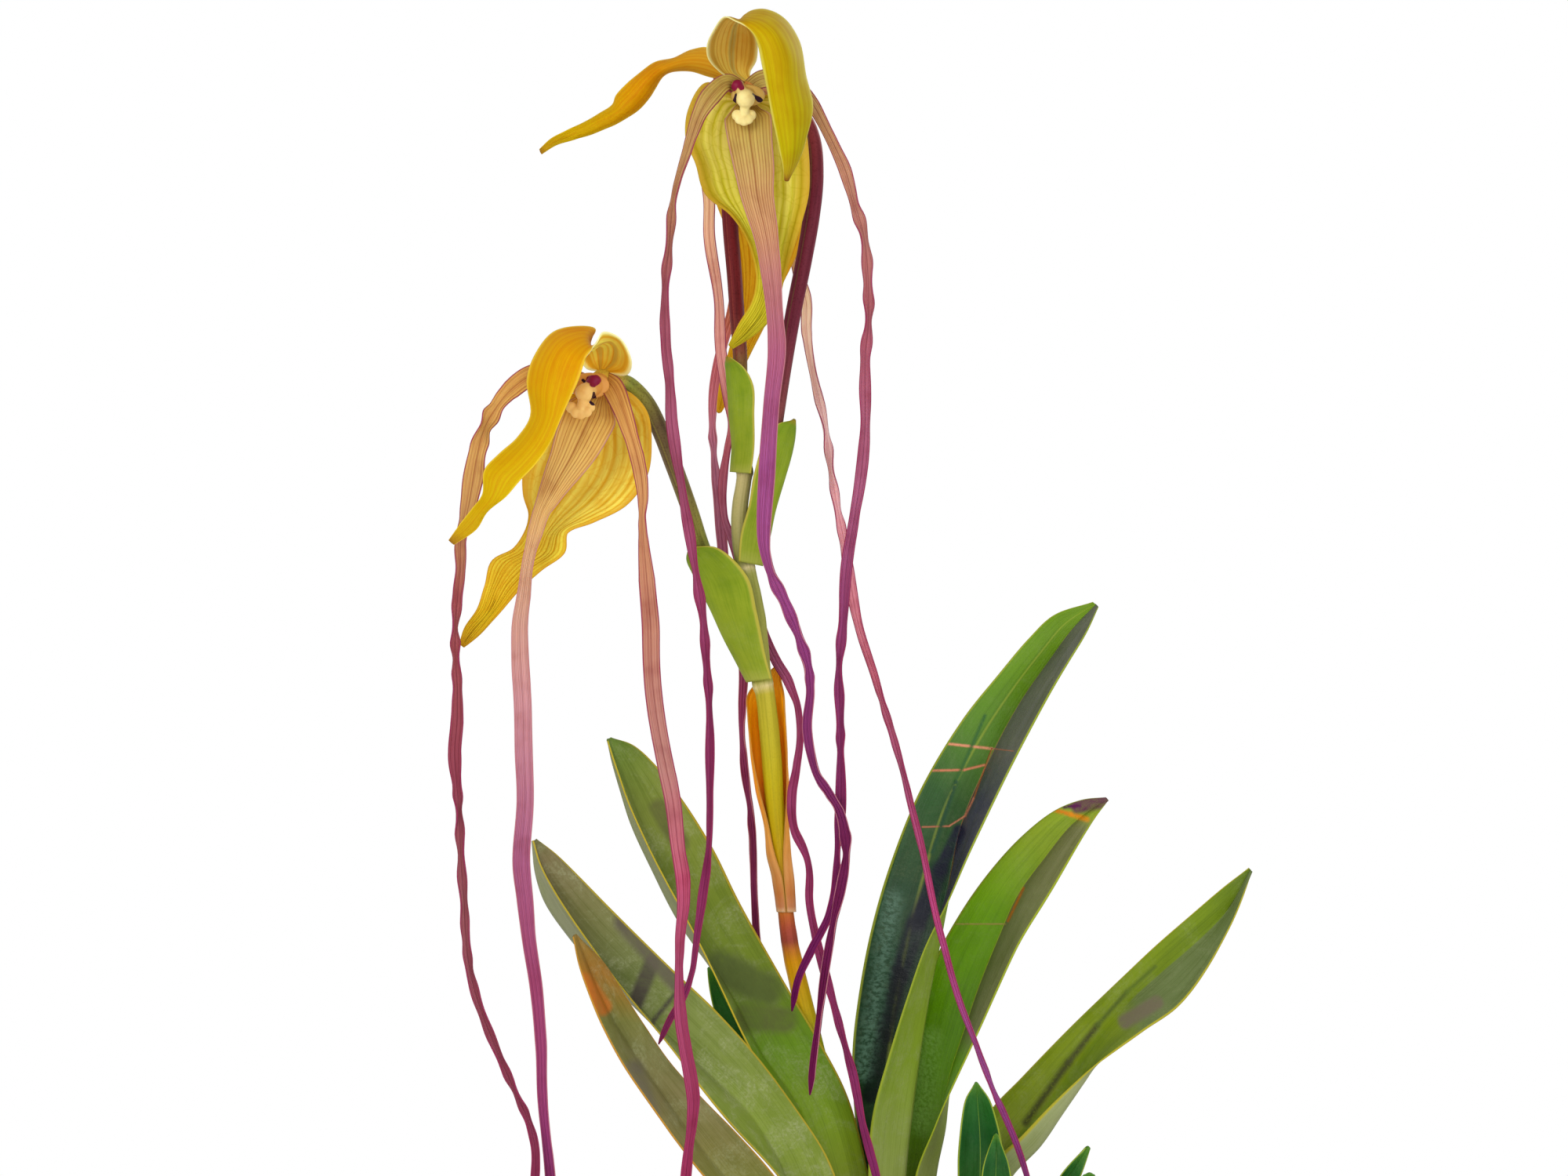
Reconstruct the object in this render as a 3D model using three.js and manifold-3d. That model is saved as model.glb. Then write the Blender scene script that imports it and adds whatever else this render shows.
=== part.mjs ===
// Potted slipper orchid with ribbon petals, in millimetres, +Z up.
// The origin is the centre of the pot's underside; the plant faces -Y.

import * as THREE from 'three';
import { mergeVertices } from 'three/addons/utils/BufferGeometryUtils.js';
import Module from 'manifold-3d';

const wasm = await Module();
wasm.setup();

// Pot and potting mix
const POT_HEIGHT = 130;
const POT_RIM_RADIUS = 75;
const POT_BASE_RADIUS = 50;
const POT_WALL = 6;
const RIM_BAND_HEIGHT = 28;
const RIM_BAND_STEP = 3.5;
const DRAIN_RADIUS = 6;
const DRAIN_CIRCLE = 28;
const DRAIN_COUNT = 4;
const MIX_DEPTH_BELOW_RIM = 11;
const CHIP_COUNT = 42;
const CHIP_SIZE = [19, 13, 8];

// Blades, stems and the gap that neighbours keep
const LEAF_THICKNESS = 1.3;
const YOUNG_LEAF_THICKNESS = 1.1;
const BRACT_THICKNESS = 0.8;
const SEPAL_THICKNESS = 0.9;
const RIBBON_THICKNESS = 0.8;
const GAP = 0.3;
const SOCKET_GAP = 0.6;
const KNOB_RADIUS = 4.5;
const COLUMN_BALL_RADIUS = 3.9;
const COLUMN_LOBE = [4.8, 3.4, 2];
const COLUMN_STALK_RADIUS = 2;

// Tracks are read in a 2000 x 1500 picture of the plant seen along +Y; at() turns
// a track point and its depth (mm, negative is nearer the viewer) into a place.
const MM_PER_PIXEL = 0.3;
const PICTURE_CENTRE = [1000, 750];
const VIEW_AXIS_X = -45;
const VIEW_AXIS_Z = 400;
const VIEW_DISTANCE = 2400;

function at(px, py, depth) {
  const scale = MM_PER_PIXEL * (VIEW_DISTANCE + depth) / VIEW_DISTANCE;
  return new THREE.Vector3(
    VIEW_AXIS_X + (px - PICTURE_CENTRE[0]) * scale,
    depth,
    VIEW_AXIS_Z - (py - PICTURE_CENTRE[1]) * scale,
  );
}

const COLOURS = {
  clay: 0xb4694a,
  bark: 0x5b3d28,
  leafMatt: 0x5f7d35,
  leafOld: 0x7d7a34,
  leafGlossy: 0x2c5a38,
  leafBright: 0x4f8534,
  scape: 0x7d9a34,
  sheath: 0xc98a34,
  bract: 0x6f9a3a,
  pedicelMaroon: 0x5b2338,
  pedicelOlive: 0x6a5630,
  sepalLime: 0xb9b42c,
  sepalGold: 0xd9aa1c,
  ribbonPink: 0xb87a86,
  ribbonPurple: 0x8a3f66,
  column: 0xe9c878,
};

function material(colour, roughness) {
  return new THREE.MeshStandardMaterial({ color: colour, roughness, metalness: 0 });
}

// Solid joins and cuts

function toSolid(geometry) {
  const bare = geometry.clone();
  bare.deleteAttribute('normal');
  bare.deleteAttribute('uv');
  bare.clearGroups();
  const merged = mergeVertices(bare, 1e-4);
  return new wasm.Manifold(new wasm.Mesh({
    numProp: 3,
    vertProperties: new Float32Array(merged.attributes.position.array),
    triVerts: new Uint32Array(merged.index.array),
  }));
}

function toGeometry(solid) {
  const mesh = solid.getMesh();
  const geometry = new THREE.BufferGeometry();
  geometry.setAttribute('position', new THREE.BufferAttribute(mesh.vertProperties, 3));
  geometry.setIndex(new THREE.BufferAttribute(mesh.triVerts, 1));
  geometry.computeVertexNormals();
  return geometry;
}

function cut(geometry, cutters) {
  let solid = toSolid(geometry);
  for (const cutter of cutters) solid = solid.subtract(toSolid(cutter));
  const pieces = solid.decompose();
  pieces.sort((a, b) => b.volume() - a.volume());
  return toGeometry(pieces[0]);
}

function join(geometries) {
  let solid = toSolid(geometries[0]);
  for (const geometry of geometries.slice(1)) solid = solid.add(toSolid(geometry));
  return toGeometry(solid);
}

// Blades: a closed slab bent onto a surface that three rails span

function flipDiagonals(geometry, group) {
  const index = geometry.index.array;
  for (let i = group.start; i < group.start + group.count; i += 6) {
    const [a, b, d, , c] = index.slice(i, i + 6);
    index.set([a, b, c, a, c, d], i);
  }
}

function railCurve(rows, column) {
  return new THREE.CatmullRomCurve3(rows.map((row) => at(...row[column])), false, 'centripetal');
}

// A round section bows smoothly through the middle rail; a keeled one folds there.
function railSurface(rows, keeled) {
  const [near, middle, far] = [0, 1, 2].map((column) => railCurve(rows, column));
  return (u, v) => {
    const m = middle.getPoint(u);
    const l = near.getPoint(u).sub(m);
    const r = far.getPoint(u).sub(m);
    if (keeled) return m.add((v < 0 ? l : r).multiplyScalar(Math.abs(v)));
    return m.add(l.multiplyScalar((v * v - v) / 2)).add(r.multiplyScalar((v * v + v) / 2));
  };
}

// A ribbon follows one track; its rows also hold the width (mm) and the turn from
// face-on (degrees) about the track.
function ribbonSurface(rows, cup) {
  const track = railCurve(rows.map((row) => [row.slice(0, 3)]), 0);
  const widths = new THREE.CatmullRomCurve3(
    rows.map((row) => new THREE.Vector3(row[3], row[4], 0)), false, 'centripetal');
  const sight = new THREE.Vector3(0, 1, 0);
  return (u, v) => {
    const centre = track.getPoint(u);
    const tangent = track.getTangent(u);
    const shape = widths.getPoint(u);
    const across = new THREE.Vector3().crossVectors(tangent, sight).normalize();
    const turn = THREE.MathUtils.degToRad(shape.y);
    across.applyAxisAngle(tangent, turn);
    const outward = new THREE.Vector3().crossVectors(tangent, across);
    const half = Math.max(shape.x, 0.8) / 2;
    return centre.addScaledVector(across, v * half).addScaledVector(outward, cup * v * v * half);
  };
}

function surfaceNormal(surface, u, v) {
  const step = 0.01;
  const along = surface(Math.min(u + step, 1), v).sub(surface(Math.max(u - step, 0), v));
  const side = surface(u, Math.min(v + step, 1)).sub(surface(u, Math.max(v - step, -1)));
  return side.cross(along).normalize();
}

function slab(surface, { thickness, steps, across }, clearance = 0) {
  const geometry = new THREE.BoxGeometry(2, 1, 1, across, steps, 1);
  flipDiagonals(geometry, geometry.groups[5]);
  const position = geometry.attributes.position;
  const layer = thickness + 2 * clearance;
  for (let i = 0; i < position.count; i += 1) {
    const v = position.getX(i);
    const u = position.getY(i) + 0.5;
    const place = surface(u, v);
    const normal = surfaceNormal(surface, u, v * 0.98);
    if (clearance && Math.abs(v) > 0.99) {
      const outward = place.clone().sub(surface(u, v * 0.9)).normalize();
      place.addScaledVector(outward, clearance);
    }
    if (clearance && u < 0.001) {
      const below = place.clone().sub(surface(0.02, v)).normalize();
      place.addScaledVector(below, clearance);
    }
    place.addScaledVector(normal, position.getZ(i) * layer);
    position.setXYZ(i, place.x, place.y, place.z);
  }
  return outwardFacing(geometry);
}

function outwardFacing(geometry) {
  if (toSolid(geometry).volume() > 0) return geometry;
  const index = geometry.index.array;
  for (let i = 0; i < index.length; i += 3) [index[i], index[i + 1]] = [index[i + 1], index[i]];
  return geometry;
}

// Stems: a closed cylinder bent along its track, with its radius at each track point

function stem(rows, { sides, steps }, clearance = 0) {
  const track = railCurve(rows.map((row) => [row.slice(0, 3)]), 0);
  const radii = new THREE.CatmullRomCurve3(
    rows.map((row) => new THREE.Vector3(row[3], 0, 0)), false, 'centripetal');
  const geometry = new THREE.CylinderGeometry(1, 1, 1, sides, steps);
  const position = geometry.attributes.position;
  const sight = new THREE.Vector3(0, 1, 0);
  for (let i = 0; i < position.count; i += 1) {
    const u = position.getY(i) + 0.5;
    const tangent = track.getTangent(u);
    const side = new THREE.Vector3().crossVectors(tangent, sight).normalize();
    const back = new THREE.Vector3().crossVectors(side, tangent);
    const radius = radii.getPoint(u).x + clearance;
    const place = track.getPoint(u);
    if (u < 0.001) place.addScaledVector(tangent, -clearance);
    place.addScaledVector(side, position.getX(i) * radius);
    place.addScaledVector(back, position.getZ(i) * radius);
    position.setXYZ(i, place.x, place.y, place.z);
  }
  return outwardFacing(geometry);
}

function ball(place, radius, segments = 12) {
  const geometry = new THREE.SphereGeometry(radius, segments, Math.round(segments * 0.67));
  return geometry.translate(place.x, place.y, place.z);
}

// Leaves: rows of [near margin, keel, far margin], from the root to the tip

const LEAVES = {
  leaf_left_upper: {
    colour: COLOURS.leafMatt,
    rows: [
      [[1116, 1712, -14], [1090, 1712, -9.5], [1118, 1712, -5]],
      [[1092, 1590, -15], [1066, 1590, -12], [1118, 1570, -6]],
      [[1060, 1500, -21], [1046, 1495, -12], [1110, 1490, -5]],
      [[1005, 1420, -24], [1016, 1412, -10], [1084, 1400, -3]],
      [[960, 1350, -26], [970, 1345, -8], [1050, 1335, -2]],
      [[915, 1272, -26], [914, 1262, -6], [1000, 1248, 0]],
      [[880, 1190, -26], [862, 1178, -6], [950, 1150, 1]],
      [[848, 1125, -25], [828, 1110, -6], [912, 1080, 1]],
      [[820, 1070, -22], [800, 1052, -7], [873, 1014, 0]],
      [[800, 1025, -18], [785, 1010, -8], [840, 970, -3]],
      [[785, 985, -13], [778, 972, -9], [808, 947, -6]],
      [[775, 945, -10], [776, 942, -9], [779, 941, -8]],
    ],
  },
  leaf_left_middle: {
    colour: COLOURS.leafMatt,
    rows: [
      [[1104, 1716, -25], [1080, 1716, -21], [1106, 1716, -17]],
      [[1075, 1610, -29], [1060, 1600, -23], [1100, 1590, -20]],
      [[1020, 1540, -38], [1010, 1530, -28], [1075, 1525, -25]],
      [[985, 1490, -46], [990, 1478, -31], [1052, 1470, -28]],
      [[945, 1425, -49], [950, 1415, -33], [1020, 1403, -29]],
      [[905, 1385, -50], [908, 1375, -34], [978, 1340, -29]],
      [[860, 1340, -50], [858, 1330, -34], [925, 1275, -30]],
      [[815, 1288, -50], [810, 1285, -34], [875, 1222, -30]],
      [[770, 1228, -50], [760, 1235, -34], [825, 1186, -30]],
      [[735, 1180, -48], [725, 1195, -35], [780, 1150, -31]],
      [[705, 1133, -44], [698, 1147, -36], [742, 1112, -33]],
      [[688, 1100, -40], [683, 1112, -36], [708, 1088, -35]],
      [[680, 1072, -37], [680, 1073, -36], [684, 1070, -35]],
    ],
  },
  leaf_left_lower: {
    colour: COLOURS.leafOld,
    rows: [
      [[1092, 1720, -36], [1070, 1720, -32], [1094, 1720, -28]],
      [[1040, 1640, -45], [1030, 1630, -38], [1075, 1625, -34]],
      [[970, 1570, -60], [972, 1555, -49], [1030, 1560, -44]],
      [[905, 1500, -67], [912, 1488, -55], [983, 1497, -50]],
      [[868, 1452, -70], [877, 1442, -58], [948, 1440, -53]],
      [[828, 1398, -72], [838, 1388, -60], [905, 1393, -55]],
      [[795, 1350, -72], [806, 1342, -60], [862, 1347, -56]],
      [[768, 1306, -72], [780, 1300, -61], [825, 1305, -57]],
      [[750, 1265, -70], [760, 1260, -62], [795, 1267, -58]],
      [[738, 1228, -67], [747, 1228, -62], [768, 1226, -59]],
      [[731, 1195, -63], [733, 1192, -61], [736, 1194, -60]],
    ],
  },
  leaf_right_inner: {
    colour: COLOURS.leafGlossy,
    rows: [
      [[1130, 1712, -7], [1158, 1712, -1], [1130, 1712, 3]],
      [[1112, 1600, -12], [1150, 1600, -3], [1118, 1600, 8]],
      [[1108, 1500, -16], [1155, 1500, 0], [1100, 1500, 10]],
      [[1122, 1425, -18], [1164, 1420, 2], [1090, 1420, 12]],
      [[1141, 1350, -18], [1174, 1345, 4], [1092, 1345, 14]],
      [[1165, 1272, -18], [1186, 1270, 6], [1102, 1265, 15]],
      [[1187, 1208, -15], [1200, 1200, 9], [1121, 1185, 16]],
      [[1213, 1150, -8], [1222, 1135, 14], [1148, 1105, 18]],
      [[1256, 1070, 0], [1262, 1050, 20], [1185, 1012, 20]],
      [[1303, 975, 8], [1290, 978, 26], [1230, 930, 24]],
      [[1338, 900, 16], [1312, 905, 32], [1275, 864, 28]],
      [[1368, 840, 26], [1345, 840, 36], [1315, 812, 32]],
      [[1388, 805, 32], [1372, 800, 38], [1352, 780, 36]],
      [[1400, 774, 38], [1399, 770, 39], [1396, 768, 38]],
    ],
  },
  leaf_right_outer: {
    colour: COLOURS.leafBright,
    rows: [
      [[1152, 1712, 3], [1180, 1712, 7], [1150, 1712, 10]],
      [[1160, 1600, 2], [1186, 1600, 8], [1152, 1600, 14]],
      [[1168, 1500, 2], [1194, 1500, 14], [1150, 1500, 20]],
      [[1191, 1440, 2], [1206, 1440, 16], [1158, 1430, 23]],
      [[1217, 1382, 2], [1220, 1385, 18], [1166, 1360, 25]],
      [[1243, 1325, 4], [1237, 1325, 21], [1176, 1290, 27]],
      [[1279, 1262, 8], [1262, 1262, 25], [1192, 1225, 28]],
      [[1308, 1203, 13], [1292, 1203, 30], [1222, 1165, 32]],
      [[1340, 1150, 19], [1322, 1145, 35], [1262, 1112, 36]],
      [[1370, 1100, 27], [1352, 1097, 40], [1303, 1067, 40]],
      [[1391, 1062, 36], [1380, 1060, 44], [1345, 1034, 44]],
      [[1403, 1040, 43], [1398, 1038, 47], [1380, 1020, 46]],
      [[1414, 1023, 48], [1413, 1020, 48], [1410, 1017, 48]],
    ],
  },
  leaf_right_low: {
    colour: COLOURS.leafBright,
    rows: [
      [[1226, 1712, 9], [1252, 1712, 14], [1222, 1712, 16]],
      [[1226, 1600, 8], [1252, 1600, 14], [1215, 1600, 18]],
      [[1262, 1490, 6], [1290, 1500, 16], [1232, 1490, 22]],
      [[1305, 1435, 6], [1330, 1443, 20], [1270, 1422, 26]],
      [[1345, 1382, 8], [1375, 1385, 24], [1320, 1360, 30]],
      [[1392, 1328, 12], [1420, 1340, 28], [1372, 1308, 34]],
      [[1440, 1280, 16], [1465, 1309, 32], [1425, 1255, 38]],
      [[1485, 1237, 20], [1510, 1270, 36], [1478, 1204, 42]],
      [[1530, 1190, 28], [1550, 1215, 42], [1525, 1162, 46]],
      [[1570, 1150, 38], [1578, 1160, 47], [1562, 1130, 50]],
      [[1598, 1112, 52], [1596, 1110, 53], [1594, 1107, 52]],
    ],
  },
};

const YOUNG_LEAVES = {
  young_leaf_behind: [
    [[1078, 1712, 12], [1086, 1712, 14], [1094, 1712, 12]],
    [[1030, 1590, 13], [1050, 1590, 16], [1066, 1590, 14]],
    [[992, 1500, 13], [1012, 1500, 16], [1030, 1500, 14]],
    [[950, 1400, 13], [972, 1395, 16], [995, 1385, 14]],
    [[920, 1320, 13], [945, 1315, 16], [968, 1305, 14]],
    [[905, 1262, 13], [916, 1258, 15], [930, 1255, 14]],
    [[902, 1235, 14], [905, 1233, 14], [908, 1234, 14]],
  ],
  young_leaf_tall: [
    [[1228, 1712, -3], [1240, 1712, 0], [1252, 1712, -3]],
    [[1222, 1600, -5], [1246, 1600, -1], [1270, 1600, -5]],
    [[1222, 1500, -7], [1250, 1500, -2], [1282, 1500, -8]],
    [[1224, 1450, -7], [1250, 1450, -2], [1276, 1450, -8]],
    [[1231, 1405, -6], [1247, 1408, -3], [1263, 1405, -6]],
    [[1243, 1382, -4], [1245, 1380, -4], [1248, 1382, -4]],
  ],
  young_leaf_short: [
    [[1250, 1712, -12], [1260, 1712, -10], [1270, 1712, -12]],
    [[1246, 1600, -15], [1268, 1600, -12], [1292, 1600, -15]],
    [[1252, 1500, -16], [1270, 1500, -13], [1290, 1500, -16]],
    [[1260, 1468, -15], [1271, 1466, -14], [1281, 1468, -15]],
    [[1268, 1448, -15], [1270, 1446, -15], [1273, 1447, -15]],
  ],
  young_leaf_pointed: [
    [[1280, 1712, -2], [1290, 1712, 1], [1300, 1712, -2]],
    [[1300, 1620, -4], [1313, 1620, 0], [1326, 1620, -4]],
    [[1328, 1550, -4], [1342, 1550, 0], [1353, 1555, -4]],
    [[1350, 1502, -4], [1362, 1504, -1], [1374, 1512, -4]],
    [[1385, 1464, -3], [1388, 1462, -3], [1391, 1465, -3]],
  ],
  young_leaf_round: [
    [[1302, 1712, -12], [1312, 1712, -10], [1322, 1712, -12]],
    [[1322, 1620, -14], [1342, 1620, -11], [1362, 1615, -14]],
    [[1350, 1550, -15], [1372, 1548, -12], [1392, 1545, -15]],
    [[1366, 1512, -15], [1386, 1508, -12], [1403, 1508, -15]],
    [[1382, 1499, -13], [1390, 1496, -13], [1396, 1499, -13]],
  ],
};

// Bracts: boat-shaped sheaths at the scape's nodes, in the same kind of rows

const BRACTS = {
  bract_lower: [
    [[984, 866, -7], [953, 870, 0], [984, 866, 7]],
    [[976, 835, -8], [928, 822, 0], [976, 835, 8]],
    [[965, 780, -10], [906, 775, 1], [960, 775, 10]],
    [[953, 735, -11], [889, 740, 1], [925, 722, 12]],
    [[915, 699, -10], [878, 716, -1], [896, 706, 8]],
    [[884, 697, -8], [879, 700, -7], [880, 697, -6]],
  ],
  bract_middle: [
    [[942, 716, -7], [972, 722, 0], [942, 716, 7]],
    [[945, 682, -7], [982, 682, 0], [946, 682, 7]],
    [[955, 645, -8], [989, 650, 0], [955, 645, 8]],
    [[963, 600, -8], [1001, 610, 0], [963, 600, 8]],
    [[976, 560, -7], [1011, 575, 1], [980, 562, 9]],
    [[990, 542, -6], [1014, 552, 1], [995, 545, 8]],
    [[1010, 536, -1], [1014, 536, 0], [1012, 534, 1]],
  ],
  bract_top: [
    [[958, 604, -7], [932, 602, 0], [958, 604, 7]],
    [[962, 570, -7], [935, 572, 0], [960, 570, 8]],
    [[962, 530, -7], [932, 535, 1], [958, 530, 8]],
    [[961, 492, -7], [929, 500, 1], [950, 492, 9]],
    [[950, 470, -6], [927, 470, 1], [934, 468, 7]],
    [[931, 455, -4], [927, 457, -3], [928, 454, -2]],
  ],
};

// Dry sheath: rows of track point, first and last angle round the scape (0 is to the
// right, 90 is behind), and the radii at the right and at the left
const SHEATH_ROWS = [
  [1008, 1205, 0.5, -84, 262, 4.5, 4.5],
  [1002, 1160, 0, -84, 262, 4.2, 4.2],
  [996, 1100, 0, -80, 258, 4.8, 4.8],
  [991, 1060, 0, -60, 240, 5.2, 5.4],
  [987, 1010, 0, -30, 215, 5.6, 6.6],
  [984, 960, 0, -12, 195, 6, 7.8],
  [980, 920, 0, -5, 185, 6.4, 7.8],
  [977, 895, 0, 0, 170, 7, 7.6],
  [975, 870, 3, 34, 110, 8, 8],
  [973, 850, 7, 42, 56, 9, 9],
];

// Scape, pedicels: rows of track point and radius

const SCAPE_ROWS = [
  [1112, 1716, 3, 3.6],
  [1100, 1620, 5, 3.7],
  [1073, 1490, 6, 3.7],
  [1045, 1360, 6, 3.7],
  [1020, 1260, 3.5, 3.6],
  [1008, 1205, 0.5, 3.3],
  [1002, 1160, 0, 3],
  [996, 1100, 0, 3.1],
  [989, 1030, 0, 3.6],
  [983, 950, 0, 3.9],
  [976, 885, 0, 3.7],
  [973, 872, 0, 4.1],
  [971, 855, 0, 3.7],
  [965, 790, 0, 3.6],
  [954, 732, 0, 3.3],
  [951, 722, 0, 3.7],
  [947, 708, 0, 3.2],
  [943, 660, 0, 3.1],
  [949, 612, 0, 2.9],
  [950, 602, 0, 3.3],
  [949, 588, 0, 2.8],
  [947, 540, 0.5, 2.7],
  [945, 486, 1.5, 2.6],
];

const PEDICELS = {
  top_pedicel: {
    colour: COLOURS.pedicelMaroon,
    rows: [
      [966, 692, 0, 2.3],
      [974, 650, 0, 2.4],
      [980, 610, 0, 2.5],
      [986, 565, 1, 2.7],
      [991, 530, 2, 2.8],
      [1000, 470, 3, 2.9],
      [1012, 400, 5, 3],
      [1026, 330, 7, 3.1],
      [1036, 270, 8, 3.2],
      [1040, 220, 10, 3.2],
      [1037, 180, 13, 3.1],
      [1026, 152, 15, 3],
      [1008, 135, 14, 3],
      [988, 124, 9, 3],
      [970, 119, 2, 3.2],
      [956, 118, -3, 3.4],
    ],
  },
  left_pedicel: {
    colour: COLOURS.pedicelOlive,
    rows: [
      [943, 806, -1, 2.5],
      [930, 772, 0, 2.6],
      [912, 732, 0.5, 2.7],
      [897, 700, -1, 2.9],
      [880, 650, -9, 3.1],
      [862, 600, -16, 3.2],
      [842, 548, -24, 3.2],
      [822, 510, -31, 3.1],
      [800, 489, -34, 3],
      [784, 486, -37, 3.1],
      [769, 486, -42, 3.4],
    ],
  },
  back_pedicel: {
    colour: COLOURS.pedicelMaroon,
    rows: [
      [945, 484, 1.6, 2.6],
      [944, 450, 3, 2.7],
      [941, 410, 8, 2.8],
      [937, 350, 16, 2.9],
      [932, 290, 24, 3],
      [929, 220, 32, 3],
      [929, 160, 36, 3],
      [930, 128, 40.5, 3.1],
      [930, 110, 45, 3.4],
    ],
  },
};

// Blooms: the knob where the pieces meet, the column's ball and lobe, the sepals as rows
// of [left edge, middle, right edge] and the ribbons as rows of track point, width, turn

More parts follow.
